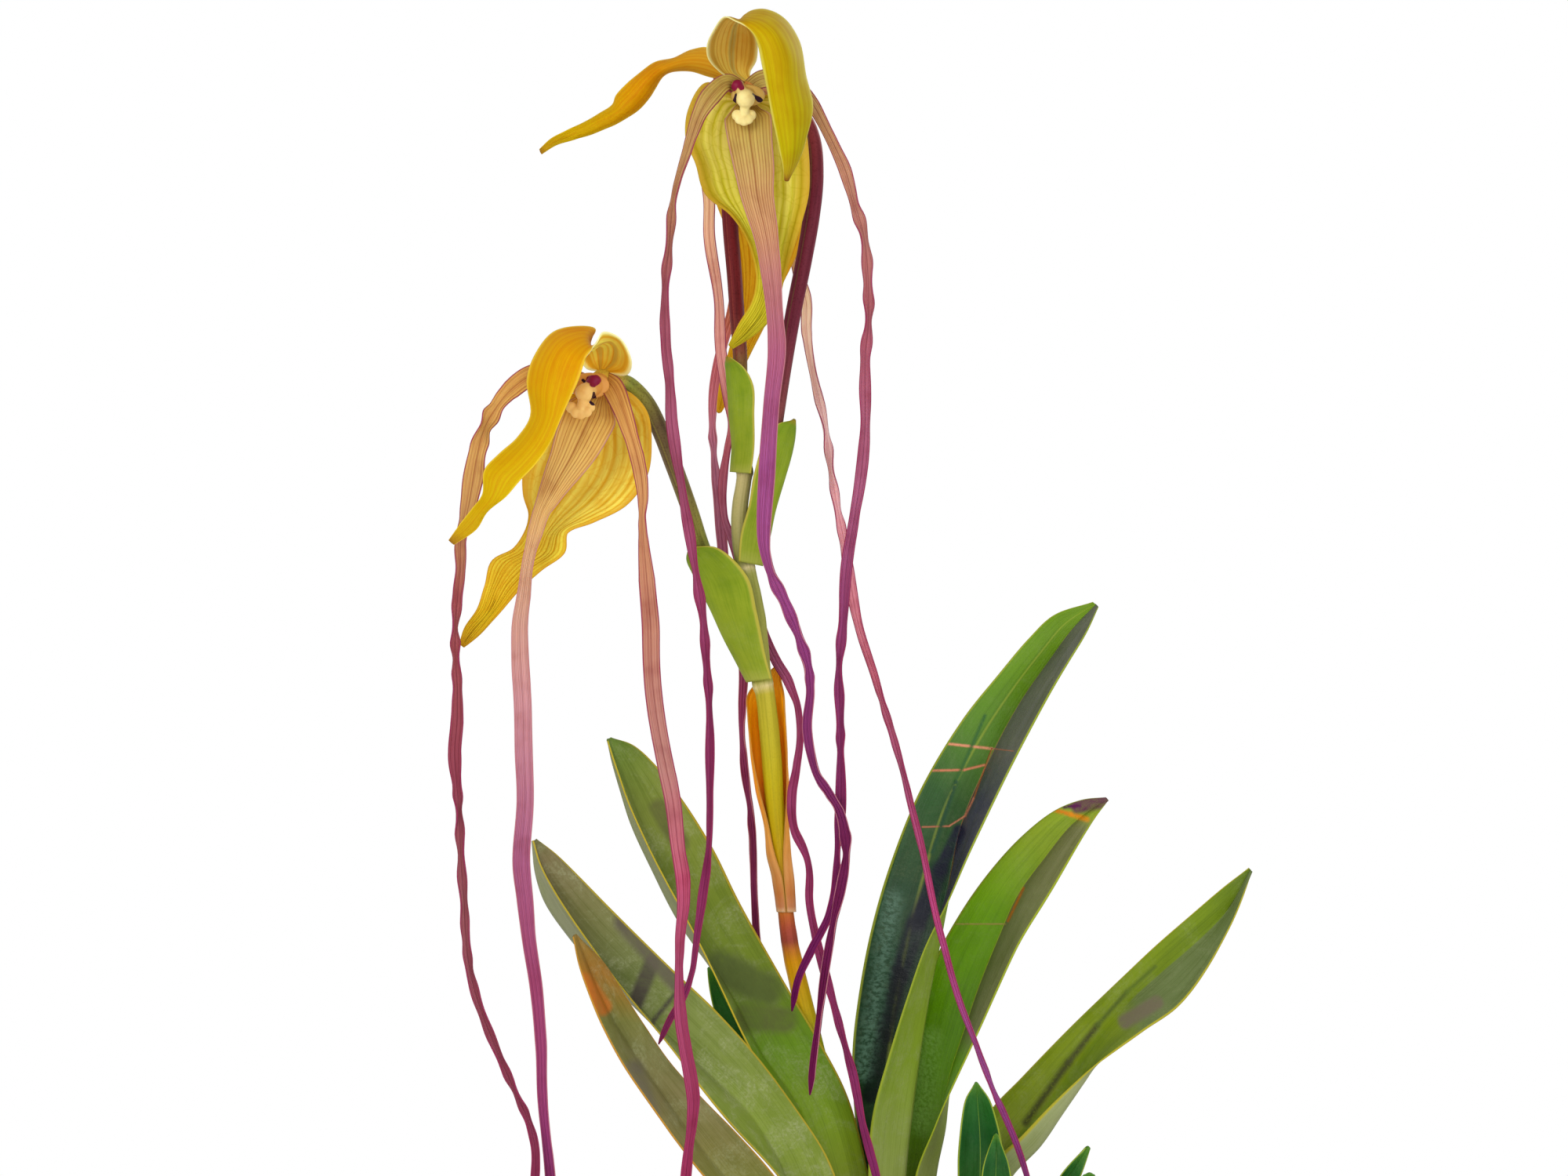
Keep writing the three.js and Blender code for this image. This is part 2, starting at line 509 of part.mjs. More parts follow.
const BLOOMS = {
  top: {
    knob: [955, 118, -4],
    columnBall: [951, 126, -20],
    columnLobe: [949, 147, -18],
    sepalColour: COLOURS.sepalLime,
    dorsal_sepal: [
      [[944, 107, -7], [951, 104, -4], [959, 105, -3]],
      [[906, 76, -22], [932, 72, -5], [962, 80, -2]],
      [[905, 48, -28], [938, 42, -7], [966, 52, -2]],
      [[925, 22, -34], [945, 18, -16], [964, 24, -5]],
      [[947, 28, -40], [968, 20, -26], [985, 15, -11]],
      [[964, 48, -44], [990, 40, -36], [1012, 36, -19]],
      [[971, 80, -46], [1000, 76, -42], [1022, 70, -26]],
      [[978, 115, -47], [1006, 112, -45], [1028, 108, -30]],
      [[985, 150, -47], [1012, 147, -46], [1036, 135, -33]],
      [[992, 182, -46], [1013, 180, -46], [1029, 173, -36]],
      [[998, 208, -45], [1010, 208, -44], [1019, 203, -38]],
      [[1001, 229, -42], [1003, 231, -42], [1006, 229, -41]],
    ],
    synsepal: [
      [[944, 126, -3], [954, 131, -1], [965, 126, -3]],
      [[901, 106, -10], [953, 146, 0], [1004, 116, -9]],
      [[880, 140, -11], [952, 168, 0], [1022, 150, -10]],
      [[877, 172, -11], [953, 197, -1], [1029, 195, -10]],
      [[890, 206, -11], [957, 226, -3], [1030, 240, -11]],
      [[901, 243, -12], [963, 260, -5], [1022, 278, -12]],
      [[934, 270, -13], [970, 300, -8], [1008, 322, -13]],
      [[958, 307, -14], [977, 345, -11], [996, 364, -13]],
      [[966, 350, -15], [980, 378, -13], [990, 388, -14]],
      [[960, 385, -16], [970, 402, -15], [978, 412, -15]],
      [[942, 415, -17], [953, 424, -16], [962, 426, -16]],
      [[929, 440, -17], [932, 443, -17], [935, 445, -17]],
    ],
    petal_left: [
      [945, 119, -6.5, 4, 0],
      [926, 110, -14, 5, 0],
      [907, 125, -20, 5.5, 0],
      [895, 152, -24, 5, 20],
      [880, 190, -27, 5, 40],
      [865, 250, -31, 4.5, 50],
      [857, 310, -33, 4.5, 50],
      [850, 370, -34, 4.5, 60],
      [848, 440, -35, 4.5, 30],
      [855, 490, -36, 4.5, 50],
      [857, 540, -36, 4.5, 0],
      [870, 620, -37, 4.5, 50],
      [880, 680, -38, 4.5, 20],
      [888, 730, -39, 4.5, 60],
      [895, 790, -40, 4.5, 30],
      [903, 850, -42, 4, 60],
      [905, 900, -43, 4, 30],
      [906, 1000, -46, 4, 40],
      [905, 1080, -49, 4, 60],
      [897, 1140, -52, 3.8, 20],
      [890, 1190, -55, 3.6, 50],
      [883, 1240, -58, 3.4, 60],
      [873, 1270, -60, 3, 30],
      [855, 1300, -62, 2.6, 20],
      [840, 1332, -64, 1.6, 0],
    ],
    petal_right: [
      [964, 116, -6.5, 4, 0],
      [983, 106, -14, 5, 0],
      [1010, 108, -20, 5, 0],
      [1030, 122, -24, 5, 0],
      [1044, 142, -26, 5, 10],
      [1057, 170, -28, 5.5, 20],
      [1075, 215, -30, 5.5, 30],
      [1090, 260, -31, 5.5, 30],
      [1101, 305, -32, 5, 40],
      [1108, 360, -33, 5, 60],
      [1107, 410, -33, 5, 70],
      [1103, 460, -34, 5, 50],
      [1102, 540, -34, 5, 60],
      [1095, 600, -34, 5, 50],
      [1088, 660, -34, 4.5, 60],
      [1082, 720, -33, 4.5, 50],
      [1075, 790, -32, 4.5, 60],
      [1070, 850, -32, 4.5, 50],
      [1075, 920, -32, 4.2, 60],
      [1078, 960, -32, 4, 30],
      [1075, 1030, -32, 4, 60],
      [1072, 1080, -32, 3.8, 50],
      [1066, 1140, -32, 3.6, 60],
      [1056, 1172, -33, 3.4, 30],
      [1035, 1212, -34, 3.2, 20],
      [1018, 1250, -35, 3, 30],
      [1010, 1290, -36, 2, 0],
    ],
    lip: [
      [954, 130, -7, 4.5, 0],
      [953, 142, -10.5, 12, 0],
      [954, 153, -12, 18, 0],
      [957, 180, -14, 17, 0],
      [962, 215, -17, 15.5, 0],
      [966, 250, -20, 12.6, 0],
      [977, 300, -23, 9.5, 0],
      [984, 350, -25, 7.8, 10],
      [989, 400, -27, 7, 25],
      [991, 450, -28, 7, 15],
      [986, 520, -30, 7, 30],
      [979, 600, -31, 7, 20],
      [975, 690, -33, 5.5, 30],
      [984, 730, -33, 5.5, 45],
      [1000, 765, -34, 5.5, 40],
      [1020, 810, -35, 5, 30],
      [1030, 850, -35, 5, 45],
      [1033, 880, -36, 4, 50],
      [1030, 930, -36, 4, 20],
      [1044, 985, -37, 4, 50],
      [1060, 1010, -38, 4, 20],
      [1072, 1032, -39, 3.6, 50],
      [1078, 1060, -39, 3.6, 20],
      [1080, 1090, -39, 3.6, 50],
      [1075, 1130, -39, 3.6, 30],
      [1064, 1175, -40, 3.6, 50],
      [1054, 1230, -41, 3.4, 20],
      [1045, 1300, -42, 3.2, 50],
      [1038, 1350, -43, 3, 30],
      [1033, 1397, -43, 2.4, 0],
    ],
  },
  left: {
    knob: [768, 486, -42],
    columnBall: [747, 498, -60],
    columnLobe: [740, 521, -60],
    sepalColour: COLOURS.sepalGold,
    dorsal_sepal: [
      [[762, 473, -41], [767, 473, -41], [773, 475, -42]],
      [[751, 462, -37], [772, 456, -38], [802, 469, -54]],
      [[745, 446, -36], [775, 433, -44], [797, 441, -62]],
      [[753, 426, -38], [761, 424, -53], [770, 426, -68]],
      [[735, 417, -46], [745, 428, -62], [755, 444, -72]],
      [[706, 427, -56], [722, 445, -70], [744, 464, -75]],
      [[683, 457, -64], [705, 470, -75], [736, 487, -78]],
      [[673, 492, -68], [698, 502, -78], [727, 508, -80]],
      [[677, 530, -70], [695, 535, -79], [716, 535, -81]],
      [[660, 558, -72], [680, 565, -80], [702, 565, -81]],
      [[636, 579, -75], [658, 590, -81], [685, 590, -82]],
      [[618, 600, -78], [638, 610, -82], [664, 612, -82]],
      [[616, 630, -80], [628, 635, -83], [645, 634, -83]],
      [[603, 648, -82], [612, 655, -84], [622, 652, -84]],
      [[588, 667, -83], [597, 673, -84], [608, 675, -84]],
      [[572, 689, -84], [575, 692, -84], [579, 695, -84]],
    ],
    synsepal: [
      [[760, 496, -40], [768, 498, -40], [775, 497, -42]],
      [[724, 506, -46], [766, 521, -38], [799, 500, -44]],
      [[697, 532, -48], [768, 550, -34], [822, 525, -44]],
      [[680, 567, -50], [765, 585, -36], [828, 562, -46]],
      [[670, 600, -52], [752, 615, -40], [824, 602, -48]],
      [[669, 630, -54], [733, 640, -46], [800, 640, -50]],
      [[677, 655, -56], [712, 662, -51], [758, 663, -53]],
      [[672, 676, -58], [697, 682, -55], [723, 676, -56]],
      [[655, 700, -60], [686, 705, -58], [719, 703, -59]],
      [[628, 716, -62], [660, 722, -60], [690, 726, -61]],
      [[620, 748, -64], [640, 747, -62], [664, 748, -63]],
      [[610, 777, -65], [624, 780, -64], [637, 778, -65]],
      [[593, 800, -66], [603, 805, -66], [614, 807, -66]],
      [[586, 821, -67], [589, 824, -67], [592, 826, -67]],
    ],
    petal_left: [
      [755, 487, -41, 4, 0],
      [738, 482, -46, 5, 0],
      [708, 474, -52, 7, 0],
      [676, 480, -58, 8, 0],
      [650, 497, -61, 8, 0],
      [633, 518, -63, 8, 20],
      [618, 545, -65, 8, 20],
      [608, 580, -67, 8, 10],
      [604, 610, -68, 8, 10],
      [599, 640, -69, 7, 20],
      [594, 665, -70, 6, 40],
      [589, 692, -71, 5, 60],
      [586, 725, -72, 4.5, 40],
      [582, 760, -73, 4.5, 30],
      [580, 800, -74, 4.5, 60],
      [581, 840, -75, 4.5, 50],
      [582, 880, -76, 4.5, 30],
      [578, 920, -77, 4.5, 60],
      [576, 960, -78, 4.5, 20],
      [580, 1000, -79, 4.5, 50],
      [585, 1035, -80, 4.2, 20],
      [588, 1090, -80, 4.2, 60],
      [591, 1150, -81, 4, 30],
      [595, 1200, -81, 4, 60],
      [601, 1240, -82, 4, 20],
      [620, 1290, -83, 4, 50],
      [645, 1345, -85, 3.8, 20],
      [665, 1390, -87, 3.8, 50],
      [679, 1430, -88, 3.6, 20],
      [684, 1465, -88, 3.6, 50],
      [683, 1500, -88, 3.6, 20],
      [676, 1560, -88, 3.4, 50],
      [671, 1640, -88, 3.2, 20],
      [674, 1720, -88, 3, 50],
      [681, 1775, -88, 2.6, 20],
      [683, 1812, -88, 1.6, 0],
    ],
    petal_right: [
      [779, 491, -46, 4.5, 0],
      [788, 499, -51, 6, 0],
      [796, 521, -56, 6, 0],
      [803, 550, -60, 6, 0],
      [812, 580, -63, 5.5, 10],
      [818, 607, -65, 5.5, 20],
      [820, 633, -67, 4.5, 40],
      [819, 660, -68, 4, 60],
      [822, 690, -70, 4.5, 30],
      [827, 740, -72, 6, 10],
      [830, 800, -74, 6.3, 0],
      [834, 850, -76, 6.3, 10],
      [842, 910, -78, 6.3, 0],
      [850, 980, -80, 6.3, 10],
      [858, 1020, -82, 6, 0],
      [865, 1080, -83, 5.4, 10],
      [871, 1120, -84, 5.4, 0],
      [872, 1150, -85, 4.8, 10],
      [868, 1200, -86, 4.5, 40],
      [867, 1240, -87, 4.5, 50],
      [868, 1290, -88, 4.8, 20],
      [874, 1335, -89, 4.8, 10],
      [881, 1375, -90, 5, 0],
      [885, 1410, -90, 4.8, 20],
      [881, 1450, -90, 4.4, 40],
      [875, 1500, -90, 4, 10],
      [870, 1560, -91, 3.8, 30],
      [868, 1640, -92, 3.6, 0],
      [872, 1720, -92, 3.2, 30],
      [880, 1790, -92, 2.8, 10],
      [884, 1840, -92, 1.8, 0],
    ],
    lip: [
      [767, 499, -44, 4.5, 0],
      [761, 513, -48, 12, 0],
      [752, 532, -53, 20, 0],
      [741, 556, -55, 19, 0],
      [728, 583, -57, 16, 0],
      [714, 608, -60, 12.5, 0],
      [701, 632, -63, 9, 0],
      [691, 652, -65, 6.5, 0],
      [682, 682, -68, 5.5, 0],
      [674, 715, -71, 4.5, 10],
      [668, 760, -73, 5.2, 0],
      [664, 800, -75, 6, 0],
      [663, 850, -76, 6.6, 0],
      [664, 900, -77, 6.6, 0],
      [668, 960, -78, 6.9, 0],
      [668, 1020, -79, 6.9, 10],
      [665, 1100, -80, 6.6, 0],
      [668, 1150, -80, 6.6, 10],
      [675, 1200, -81, 5.5, 0],
      [683, 1260, -81, 4.8, 20],
      [688, 1330, -82, 4.2, 0],
      [692, 1400, -82, 4.2, 10],
      [698, 1460, -82, 4.2, 20],
      [702, 1500, -82, 4, 10],
      [704, 1560, -82, 3.8, 30],
      [702, 1640, -82, 3.6, 0],
      [706, 1720, -82, 3.2, 30],
      [714, 1790, -82, 2.8, 10],
      [722, 1850, -82, 1.8, 0],
    ],
  },
  back: {
    knob: [930, 108, 46],
    columnBall: [931, 112, 62],
    columnLobe: [932, 132, 60],
    sepalColour: COLOURS.sepalGold,
    dorsal_sepal: [
      [[925, 92, 46], [928, 97, 45], [930, 103, 46]],
      [[905, 62, 48], [905, 80, 42], [906, 98, 46]],
      [[883, 62, 48], [880, 77, 41], [881, 92, 45]],
      [[858, 71, 47], [858, 84, 40], [860, 96, 44]],
      [[835, 80, 46], [838, 95, 40], [845, 106, 43]],
      [[808, 103, 45], [816, 121, 40], [828, 136, 43]],
      [[783, 138, 44], [795, 148, 40], [812, 152, 42]],
      [[760, 155, 43], [768, 164, 40], [782, 168, 41]],
      [[735, 165, 42], [742, 174, 40], [752, 180, 40]],
      [[713, 179, 41], [717, 183, 40], [722, 186, 40]],
      [[688, 192, 40], [689, 195, 40], [691, 197, 40]],
    ],
    synsepal: [
      [[922, 120, 48], [931, 122, 48], [940, 119, 48]],
      [[908, 140, 51], [938, 144, 47], [985, 132, 51]],
      [[905, 175, 52], [948, 180, 47], [1015, 172, 52]],
      [[908, 215, 52], [953, 225, 47], [1030, 222, 52]],
      [[912, 260, 51], [960, 270, 46], [1031, 272, 51]],
      [[926, 300, 49], [967, 310, 45], [1020, 318, 49]],
      [[937, 345, 47], [965, 355, 43], [1001, 360, 46]],
      [[939, 395, 44], [958, 400, 41], [982, 405, 43]],
      [[930, 440, 41], [944, 445, 39], [961, 446, 40]],
      [[918, 485, 38], [926, 490, 37], [938, 492, 37]],
      [[914, 525, 36], [917, 527, 36], [921, 525, 36]],
    ],
    petal_left: [
      [918, 108, 46, 4.5, 0],
      [905, 118, 44, 5, 0],
      [896, 160, 40, 5, 0],
      [899, 210, 36, 5, 0],
      [905, 255, 33, 4.8, 20],
      [905, 300, 30, 4.8, 20],
      [912, 380, 27, 4.5, 10],
      [920, 450, 24, 4.5, 20],
      [929, 505, 22, 4.5, 0],
      [935, 540, 21, 4.2, 30],
      [928, 575, 20, 4, 50],
      [922, 620, 19, 4, 30],
      [925, 660, 18, 3.8, 50],
      [935, 690, 18, 3.8, 20],
      [946, 725, 18, 3.8, 0],
      [960, 765, 16, 3.8, 0],
      [974, 808, 14, 3.8, 0],
      [990, 843, 9, 3.8, 0],
      [1005, 868, 3, 3.8, 0],
      [1016, 900, -1, 3.6, 30],
      [1021, 940, -4, 3.6, 50],
      [1015, 980, -9, 3.6, 30],
      [1010, 1015, -13, 3.6, 0],
      [1013, 1055, -16, 3.6, 30],
      [1025, 1100, -18, 3.6, 50],
      [1033, 1150, -19, 3.6, 10],
      [1040, 1190, -20, 3.6, 30],
      [1052, 1240, -22, 3.6, 50],
      [1065, 1280, -24, 3.6, 10],
      [1078, 1330, -26, 3.4, 30],
      [1088, 1370, -28, 3.4, 10],
      [1100, 1430, -30, 3.4, 40],
      [1110, 1470, -31, 3.4, 10],
      [1118, 1500, -32, 3.2, 20],
      [1128, 1552, -33, 1.8, 0],
    ],
    petal_right: [
      [942, 110, 48, 4.5, 0],
      [965, 112, 54, 5, 0],
      [985, 130, 57, 5, 0],
      [998, 170, 59, 5, 0],
      [1004, 230, 59, 5, 0],
      [1010, 300, 56, 4.5, 0],
      [1019, 350, 52, 4.5, 20],
      [1028, 385, 47, 4.5, 0],
      [1037, 425, 41, 4.2, 30],
      [1045, 480, 34, 4.2, 10],
      [1055, 550, 26, 4.2, 30],
      [1063, 600, 20, 4, 50],
      [1070, 650, 15, 4, 20],
      [1078, 690, 11, 4, 50],
      [1085, 745, 6, 4, 10],
      [1097, 800, 1, 4, 40],
      [1114, 860, -4, 4, 10],
      [1125, 890, -7, 3.8, 40],
      [1135, 930, -9, 3.8, 20],
      [1150, 980, -12, 3.8, 50],
      [1163, 1030, -15, 3.6, 10],
      [1178, 1090, -18, 3.6, 40],
      [1190, 1150, -22, 3.4, 10],
      [1205, 1210, -26, 3.2, 40],
      [1225, 1280, -28, 3, 10],
      [1245, 1340, -30, 2.8, 30],
      [1265, 1390, -31, 2.6, 10],
      [1285, 1430, -32, 2.6, 30],
      [1297, 1460, -32, 2.4, 10],
      [1310, 1500, -33, 2.2, 20],
      [1320, 1540, -33, 1.6, 0],
    ],
    lip: [
      [931, 119.5, 50, 4.5, 0],
      [934, 138, 55, 8, 0],
      [943, 200, 57, 9, 0],
      [948, 250, 56, 8, 0],
      [947, 300, 55, 6, 0],
      [942, 350, 53, 5, 0],
      [934, 400, 51, 4.5, 10],
      [922, 440, 49, 4.2, 20],
      [912, 490, 46, 4.2, 0],
      [906, 540, 42, 4, 20],
      [908, 580, 38, 4, 40],
      [915, 630, 32, 4, 10],
      [918, 690, 27, 3.8, 30],
      [925, 730, 23, 3.8, 0],
      [938, 790, 19, 3.8, 20],
      [948, 850, 15, 3.6, 0],
      [944, 900, 14, 3.6, 40],
      [945, 940, 14, 3.6, 50],
      [950, 980, 14, 3.4, 20],
      [956, 1030, 14, 3.4, 40],
      [958, 1080, 14, 3.4, 20],
      [962, 1130, 15, 3.2, 50],
      [965, 1190, 18, 3, 20],
      [969, 1240, 21, 2.8, 40],
      [973, 1290, 23, 2.4, 10],
      [975, 1330, 24, 1.6, 0],
    ],
  },
};

const LEAF_MESH = { thickness: LEAF_THICKNESS, steps: 16, across: 4 };
const YOUNG_LEAF_MESH = { thickness: YOUNG_LEAF_THICKNESS, steps: 9, across: 2 };
const BRACT_MESH = { thickness: BRACT_THICKNESS, steps: 9, across: 4 };
const SEPAL_MESH = { thickness: SEPAL_THICKNESS, steps: 17, across: 4 };
const RIBBON_MESH = { thickness: RIBBON_THICKNESS, steps: 26, across: 2 };
const SHEATH_MESH = { thickness: BRACT_THICKNESS, steps: 11, across: 8 };
const RIBBON_CUP = 0.12;

// The pieces

const plant = new THREE.Group();

function add(name, geometry, colour, roughness) {
  const mesh = new THREE.Mesh(geometry, material(colour, roughness));
  mesh.name = name;
  plant.add(mesh);
}

function potGeometry() {
  const floor = POT_WALL + 2;
  const bandFoot = POT_HEIGHT - RIM_BAND_HEIGHT;
  const wallTop = POT_RIM_RADIUS - RIM_BAND_STEP;
  const profile = [
    [0, 0], [POT_BASE_RADIUS - 2, 0], [POT_BASE_RADIUS, 2],
    [wallTop - 2, bandFoot - 2], [wallTop, bandFoot],
    [POT_RIM_RADIUS - 0.8, bandFoot + 1], [POT_RIM_RADIUS, bandFoot + 3],
    [POT_RIM_RADIUS, POT_HEIGHT - 2], [POT_RIM_RADIUS - 2, POT_HEIGHT],
    [POT_RIM_RADIUS - POT_WALL + 1.5, POT_HEIGHT], [POT_RIM_RADIUS - POT_WALL, POT_HEIGHT - 1.5],
    [POT_BASE_RADIUS - POT_WALL + 2, floor + 2], [POT_BASE_RADIUS - POT_WALL, floor], [0, floor],
  ].map(([radius, height]) => new THREE.Vector2(radius, height));
  const body = new THREE.LatheGeometry(profile, 32).rotateX(Math.PI / 2);
  const drains = Array.from({ length: DRAIN_COUNT }, (_, k) => {
    const angle = Math.PI / DRAIN_COUNT + 2 * Math.PI * k / DRAIN_COUNT;
    const hole = new THREE.CylinderGeometry(DRAIN_RADIUS, DRAIN_RADIUS, 4 * POT_WALL, 16);
    return hole.rotateX(Math.PI / 2)
      .translate(DRAIN_CIRCLE * Math.cos(angle), DRAIN_CIRCLE * Math.sin(angle), POT_WALL);
  });
  return cut(outwardFacing(body), drains);
}

function seededRandom(seed) {
  let state = seed;
  return () => {
    state = (state * 1664525 + 1013904223) % 4294967296;
    return state / 4294967296;
  };
}

// The bark is one body: a filling with chips sunk into its top in a sunflower spiral
function mixGeometry(roots) {
  const floor = POT_WALL + 2 + GAP;
  const surface = POT_HEIGHT - MIX_DEPTH_BELOW_RIM;
  const innerBase = POT_BASE_RADIUS - POT_WALL - GAP;
  const slope = (POT_RIM_RADIUS - POT_BASE_RADIUS - 2) / POT_HEIGHT;
  const innerTop = innerBase + 2 + slope * (surface - floor);
  const profile = [[0, floor], [innerBase - 1, floor], [innerBase + 1, floor + 3],
    [innerTop, surface - 3], [innerTop - 3, surface - 1], [0, surface]]
    .map(([radius, height]) => new THREE.Vector2(radius, height));
  const filling = outwardFacing(new THREE.LatheGeometry(profile, 28).rotateX(Math.PI / 2));
  const random = seededRandom(7);
  const goldenAngle = Math.PI * (3 - Math.sqrt(5));
  const chips = Array.from({ length: CHIP_COUNT }, (_, k) => {
    const chip = new THREE.BoxGeometry(...CHIP_SIZE.map((side) => side * (0.7 + 0.6 * random())));
    const reach = (innerTop - CHIP_SIZE[0] * 0.75) * Math.sqrt((k + 0.5) / CHIP_COUNT);
    chip.rotateX((random() - 0.5) * 0.9).rotateY((random() - 0.5) * 0.9).rotateZ(random() * Math.PI);
    return chip.translate(
      reach * Math.cos(k * goldenAngle), reach * Math.sin(k * goldenAngle), surface - random() * 2);
  });
  return cut(join([filling, ...chips]), roots);
}

function sheathSurface() {
  const track = railCurve(SHEATH_ROWS.map((row) => [row.slice(0, 3)]), 0);
  const angles = new THREE.CatmullRomCurve3(
    SHEATH_ROWS.map((row) => new THREE.Vector3(row[3], row[4], 0)), false, 'centripetal');
  const radii = new THREE.CatmullRomCurve3(
    SHEATH_ROWS.map((row) => new THREE.Vector3(row[5], row[6], 0)), false, 'centripetal');
  return (u, v) => {
    const span = angles.getPoint(u);
    const reach = radii.getPoint(u);
    const angle = THREE.MathUtils.degToRad(span.x + (span.y - span.x) * (v + 1) / 2);
    const radius = reach.x + (reach.y - reach.x) * (1 - Math.cos(angle)) / 2;
    const place = track.getPoint(u);
    return place.add(new THREE.Vector3(radius * Math.cos(angle), radius * Math.sin(angle), 0));
  };
}

function columnGeometry(bloom) {
  const knob = at(...bloom.knob);
  const head = at(...bloom.columnBall);
  const lobe = at(...bloom.columnLobe);
  const facing = head.clone().sub(knob).normalize();
  const turn = new THREE.Quaternion().setFromUnitVectors(new THREE.Vector3(0, 0, 1), facing);
  const stalkTurn = new THREE.Quaternion().setFromUnitVectors(new THREE.Vector3(0, 1, 0), facing);
  const stalk = new THREE.CylinderGeometry(
    COLUMN_STALK_RADIUS, COLUMN_STALK_RADIUS * 1.2, head.distanceTo(knob), 7);
  const middle = head.clone().add(knob).multiplyScalar(0.5);
  stalk.applyQuaternion(stalkTurn).translate(middle.x, middle.y, middle.z);
  const shield = new THREE.SphereGeometry(1, 9, 5).scale(...COLUMN_LOBE);
  shield.applyQuaternion(turn).translate(lobe.x, lobe.y, lobe.z);
  const neck = new THREE.CylinderGeometry(1.8, 1.8, head.distanceTo(lobe), 6);
  const down = lobe.clone().sub(head).normalize();
  neck.applyQuaternion(new THREE.Quaternion().setFromUnitVectors(new THREE.Vector3(0, 1, 0), down));
  const neckMiddle = head.clone().add(lobe).multiplyScalar(0.5);
  neck.translate(neckMiddle.x, neckMiddle.y, neckMiddle.z);
  const body = join([stalk, ball(head, COLUMN_BALL_RADIUS, 9), neck, shield]);
  return cut(body, [ball(knob, KNOB_RADIUS + GAP, 9)]);
}

const roots = [];

for (const [name, leaf] of Object.entries(LEAVES)) {
  const surface = railSurface(leaf.rows, true);
  add(name, slab(surface, LEAF_MESH), leaf.colour, 0.5);
  roots.push(slab(surface, LEAF_MESH, SOCKET_GAP));
}

for (const [name, rows] of Object.entries(YOUNG_LEAVES)) {
  const surface = railSurface(rows, false);
  add(name, slab(surface, YOUNG_LEAF_MESH), COLOURS.leafGlossy, 0.35);
  roots.push(slab(surface, YOUNG_LEAF_MESH, SOCKET_GAP));
}

const SCAPE_MESH = { sides: 8, steps: 36 };
add('scape', stem(SCAPE_ROWS, SCAPE_MESH), COLOURS.scape, 0.5);
roots.push(stem(SCAPE_ROWS, SCAPE_MESH, SOCKET_GAP));

for (const [name, rows] of Object.entries(BRACTS)) {
  add(name, slab(railSurface(rows, false), BRACT_MESH), COLOURS.bract, 0.5);
}
add('dry_sheath', slab(sheathSurface(), SHEATH_MESH), COLOURS.sheath, 0.8);

for (const [name, pedicel] of Object.entries(PEDICELS)) {
  const bloom = BLOOMS[name.split('_')[0]];
  const stalk = stem(pedicel.rows, { sides: 8, steps: 15 });
  add(name, join([stalk, ball(at(...bloom.knob), KNOB_RADIUS, 12)]), pedicel.colour, 0.5);
}

for (const [side, bloom] of Object.entries(BLOOMS)) {
  const seat = ball(at(...bloom.knob), KNOB_RADIUS + GAP, 12);
  for (const part of ['dorsal_sepal', 'synsepal']) {
    const sepal = slab(railSurface(bloom[part], false), SEPAL_MESH);
    add(`${side}_${part}`, cut(sepal, [seat]), bloom.sepalColour, 0.5);
  }
  for (const part of ['petal_left', 'petal_right', 'lip']) {
    const ribbon = slab(ribbonSurface(bloom[part], RIBBON_CUP), RIBBON_MESH);
    const colour = part === 'lip' ? COLOURS.ribbonPink : COLOURS.ribbonPurple;
    add(`${side}_${part}`, cut(ribbon, [seat]), colour, 0.5);
  }
  add(`${side}_column`, columnGeometry(bloom), COLOURS.column, 0.4);
}

add('potting_mix', mixGeometry(roots), COLOURS.bark, 0.9);
add('pot', potGeometry(), COLOURS.clay, 0.85);

export default plant;
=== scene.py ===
"""A potted slipper orchid in flower: its finished leaves, stems, blooms, bark and pot."""

import math
import random

import bmesh
import bpy
from bpy.props import FloatProperty, FloatVectorProperty, IntProperty, PointerProperty
from mathutils import Matrix, Quaternion, Vector, noise


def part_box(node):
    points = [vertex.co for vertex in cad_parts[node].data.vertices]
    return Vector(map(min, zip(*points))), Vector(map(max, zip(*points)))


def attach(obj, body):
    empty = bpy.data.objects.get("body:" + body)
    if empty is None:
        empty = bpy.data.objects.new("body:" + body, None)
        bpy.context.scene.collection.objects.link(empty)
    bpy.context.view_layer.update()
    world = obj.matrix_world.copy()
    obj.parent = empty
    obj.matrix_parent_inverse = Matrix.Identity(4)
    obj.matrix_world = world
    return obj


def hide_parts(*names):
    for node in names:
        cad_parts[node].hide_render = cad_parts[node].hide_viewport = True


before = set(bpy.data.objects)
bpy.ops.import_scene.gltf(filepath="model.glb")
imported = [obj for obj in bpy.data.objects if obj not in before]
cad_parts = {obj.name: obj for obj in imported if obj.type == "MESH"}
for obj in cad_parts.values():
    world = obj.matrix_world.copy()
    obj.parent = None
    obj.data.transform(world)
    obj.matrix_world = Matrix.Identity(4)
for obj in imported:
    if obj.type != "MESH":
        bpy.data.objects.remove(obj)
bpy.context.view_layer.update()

bl_info = {
    "name": "Potted slipper orchid",
    "version": (1, 0, 0),
    "blender": (4, 5, 0),
    "location": "View3D > Sidebar > Orchid",
    "description": "Leaves, stems, ribbon-petalled blooms, bark and a clay pot",
    "category": "Object",
}

MM = 0.001
BLADE_UV = "blade"

# Track points are read in a 2000 x 1500 picture of the plant seen along +Y, with a depth
# in millimetres that is negative towards the viewer.
MM_PER_PIXEL = 0.3
PICTURE_CENTRE = (1000, 750)
VIEW_AXIS = (-45, 400)
VIEW_DISTANCE = 2400
SIGHT = Vector((0, 1, 0))

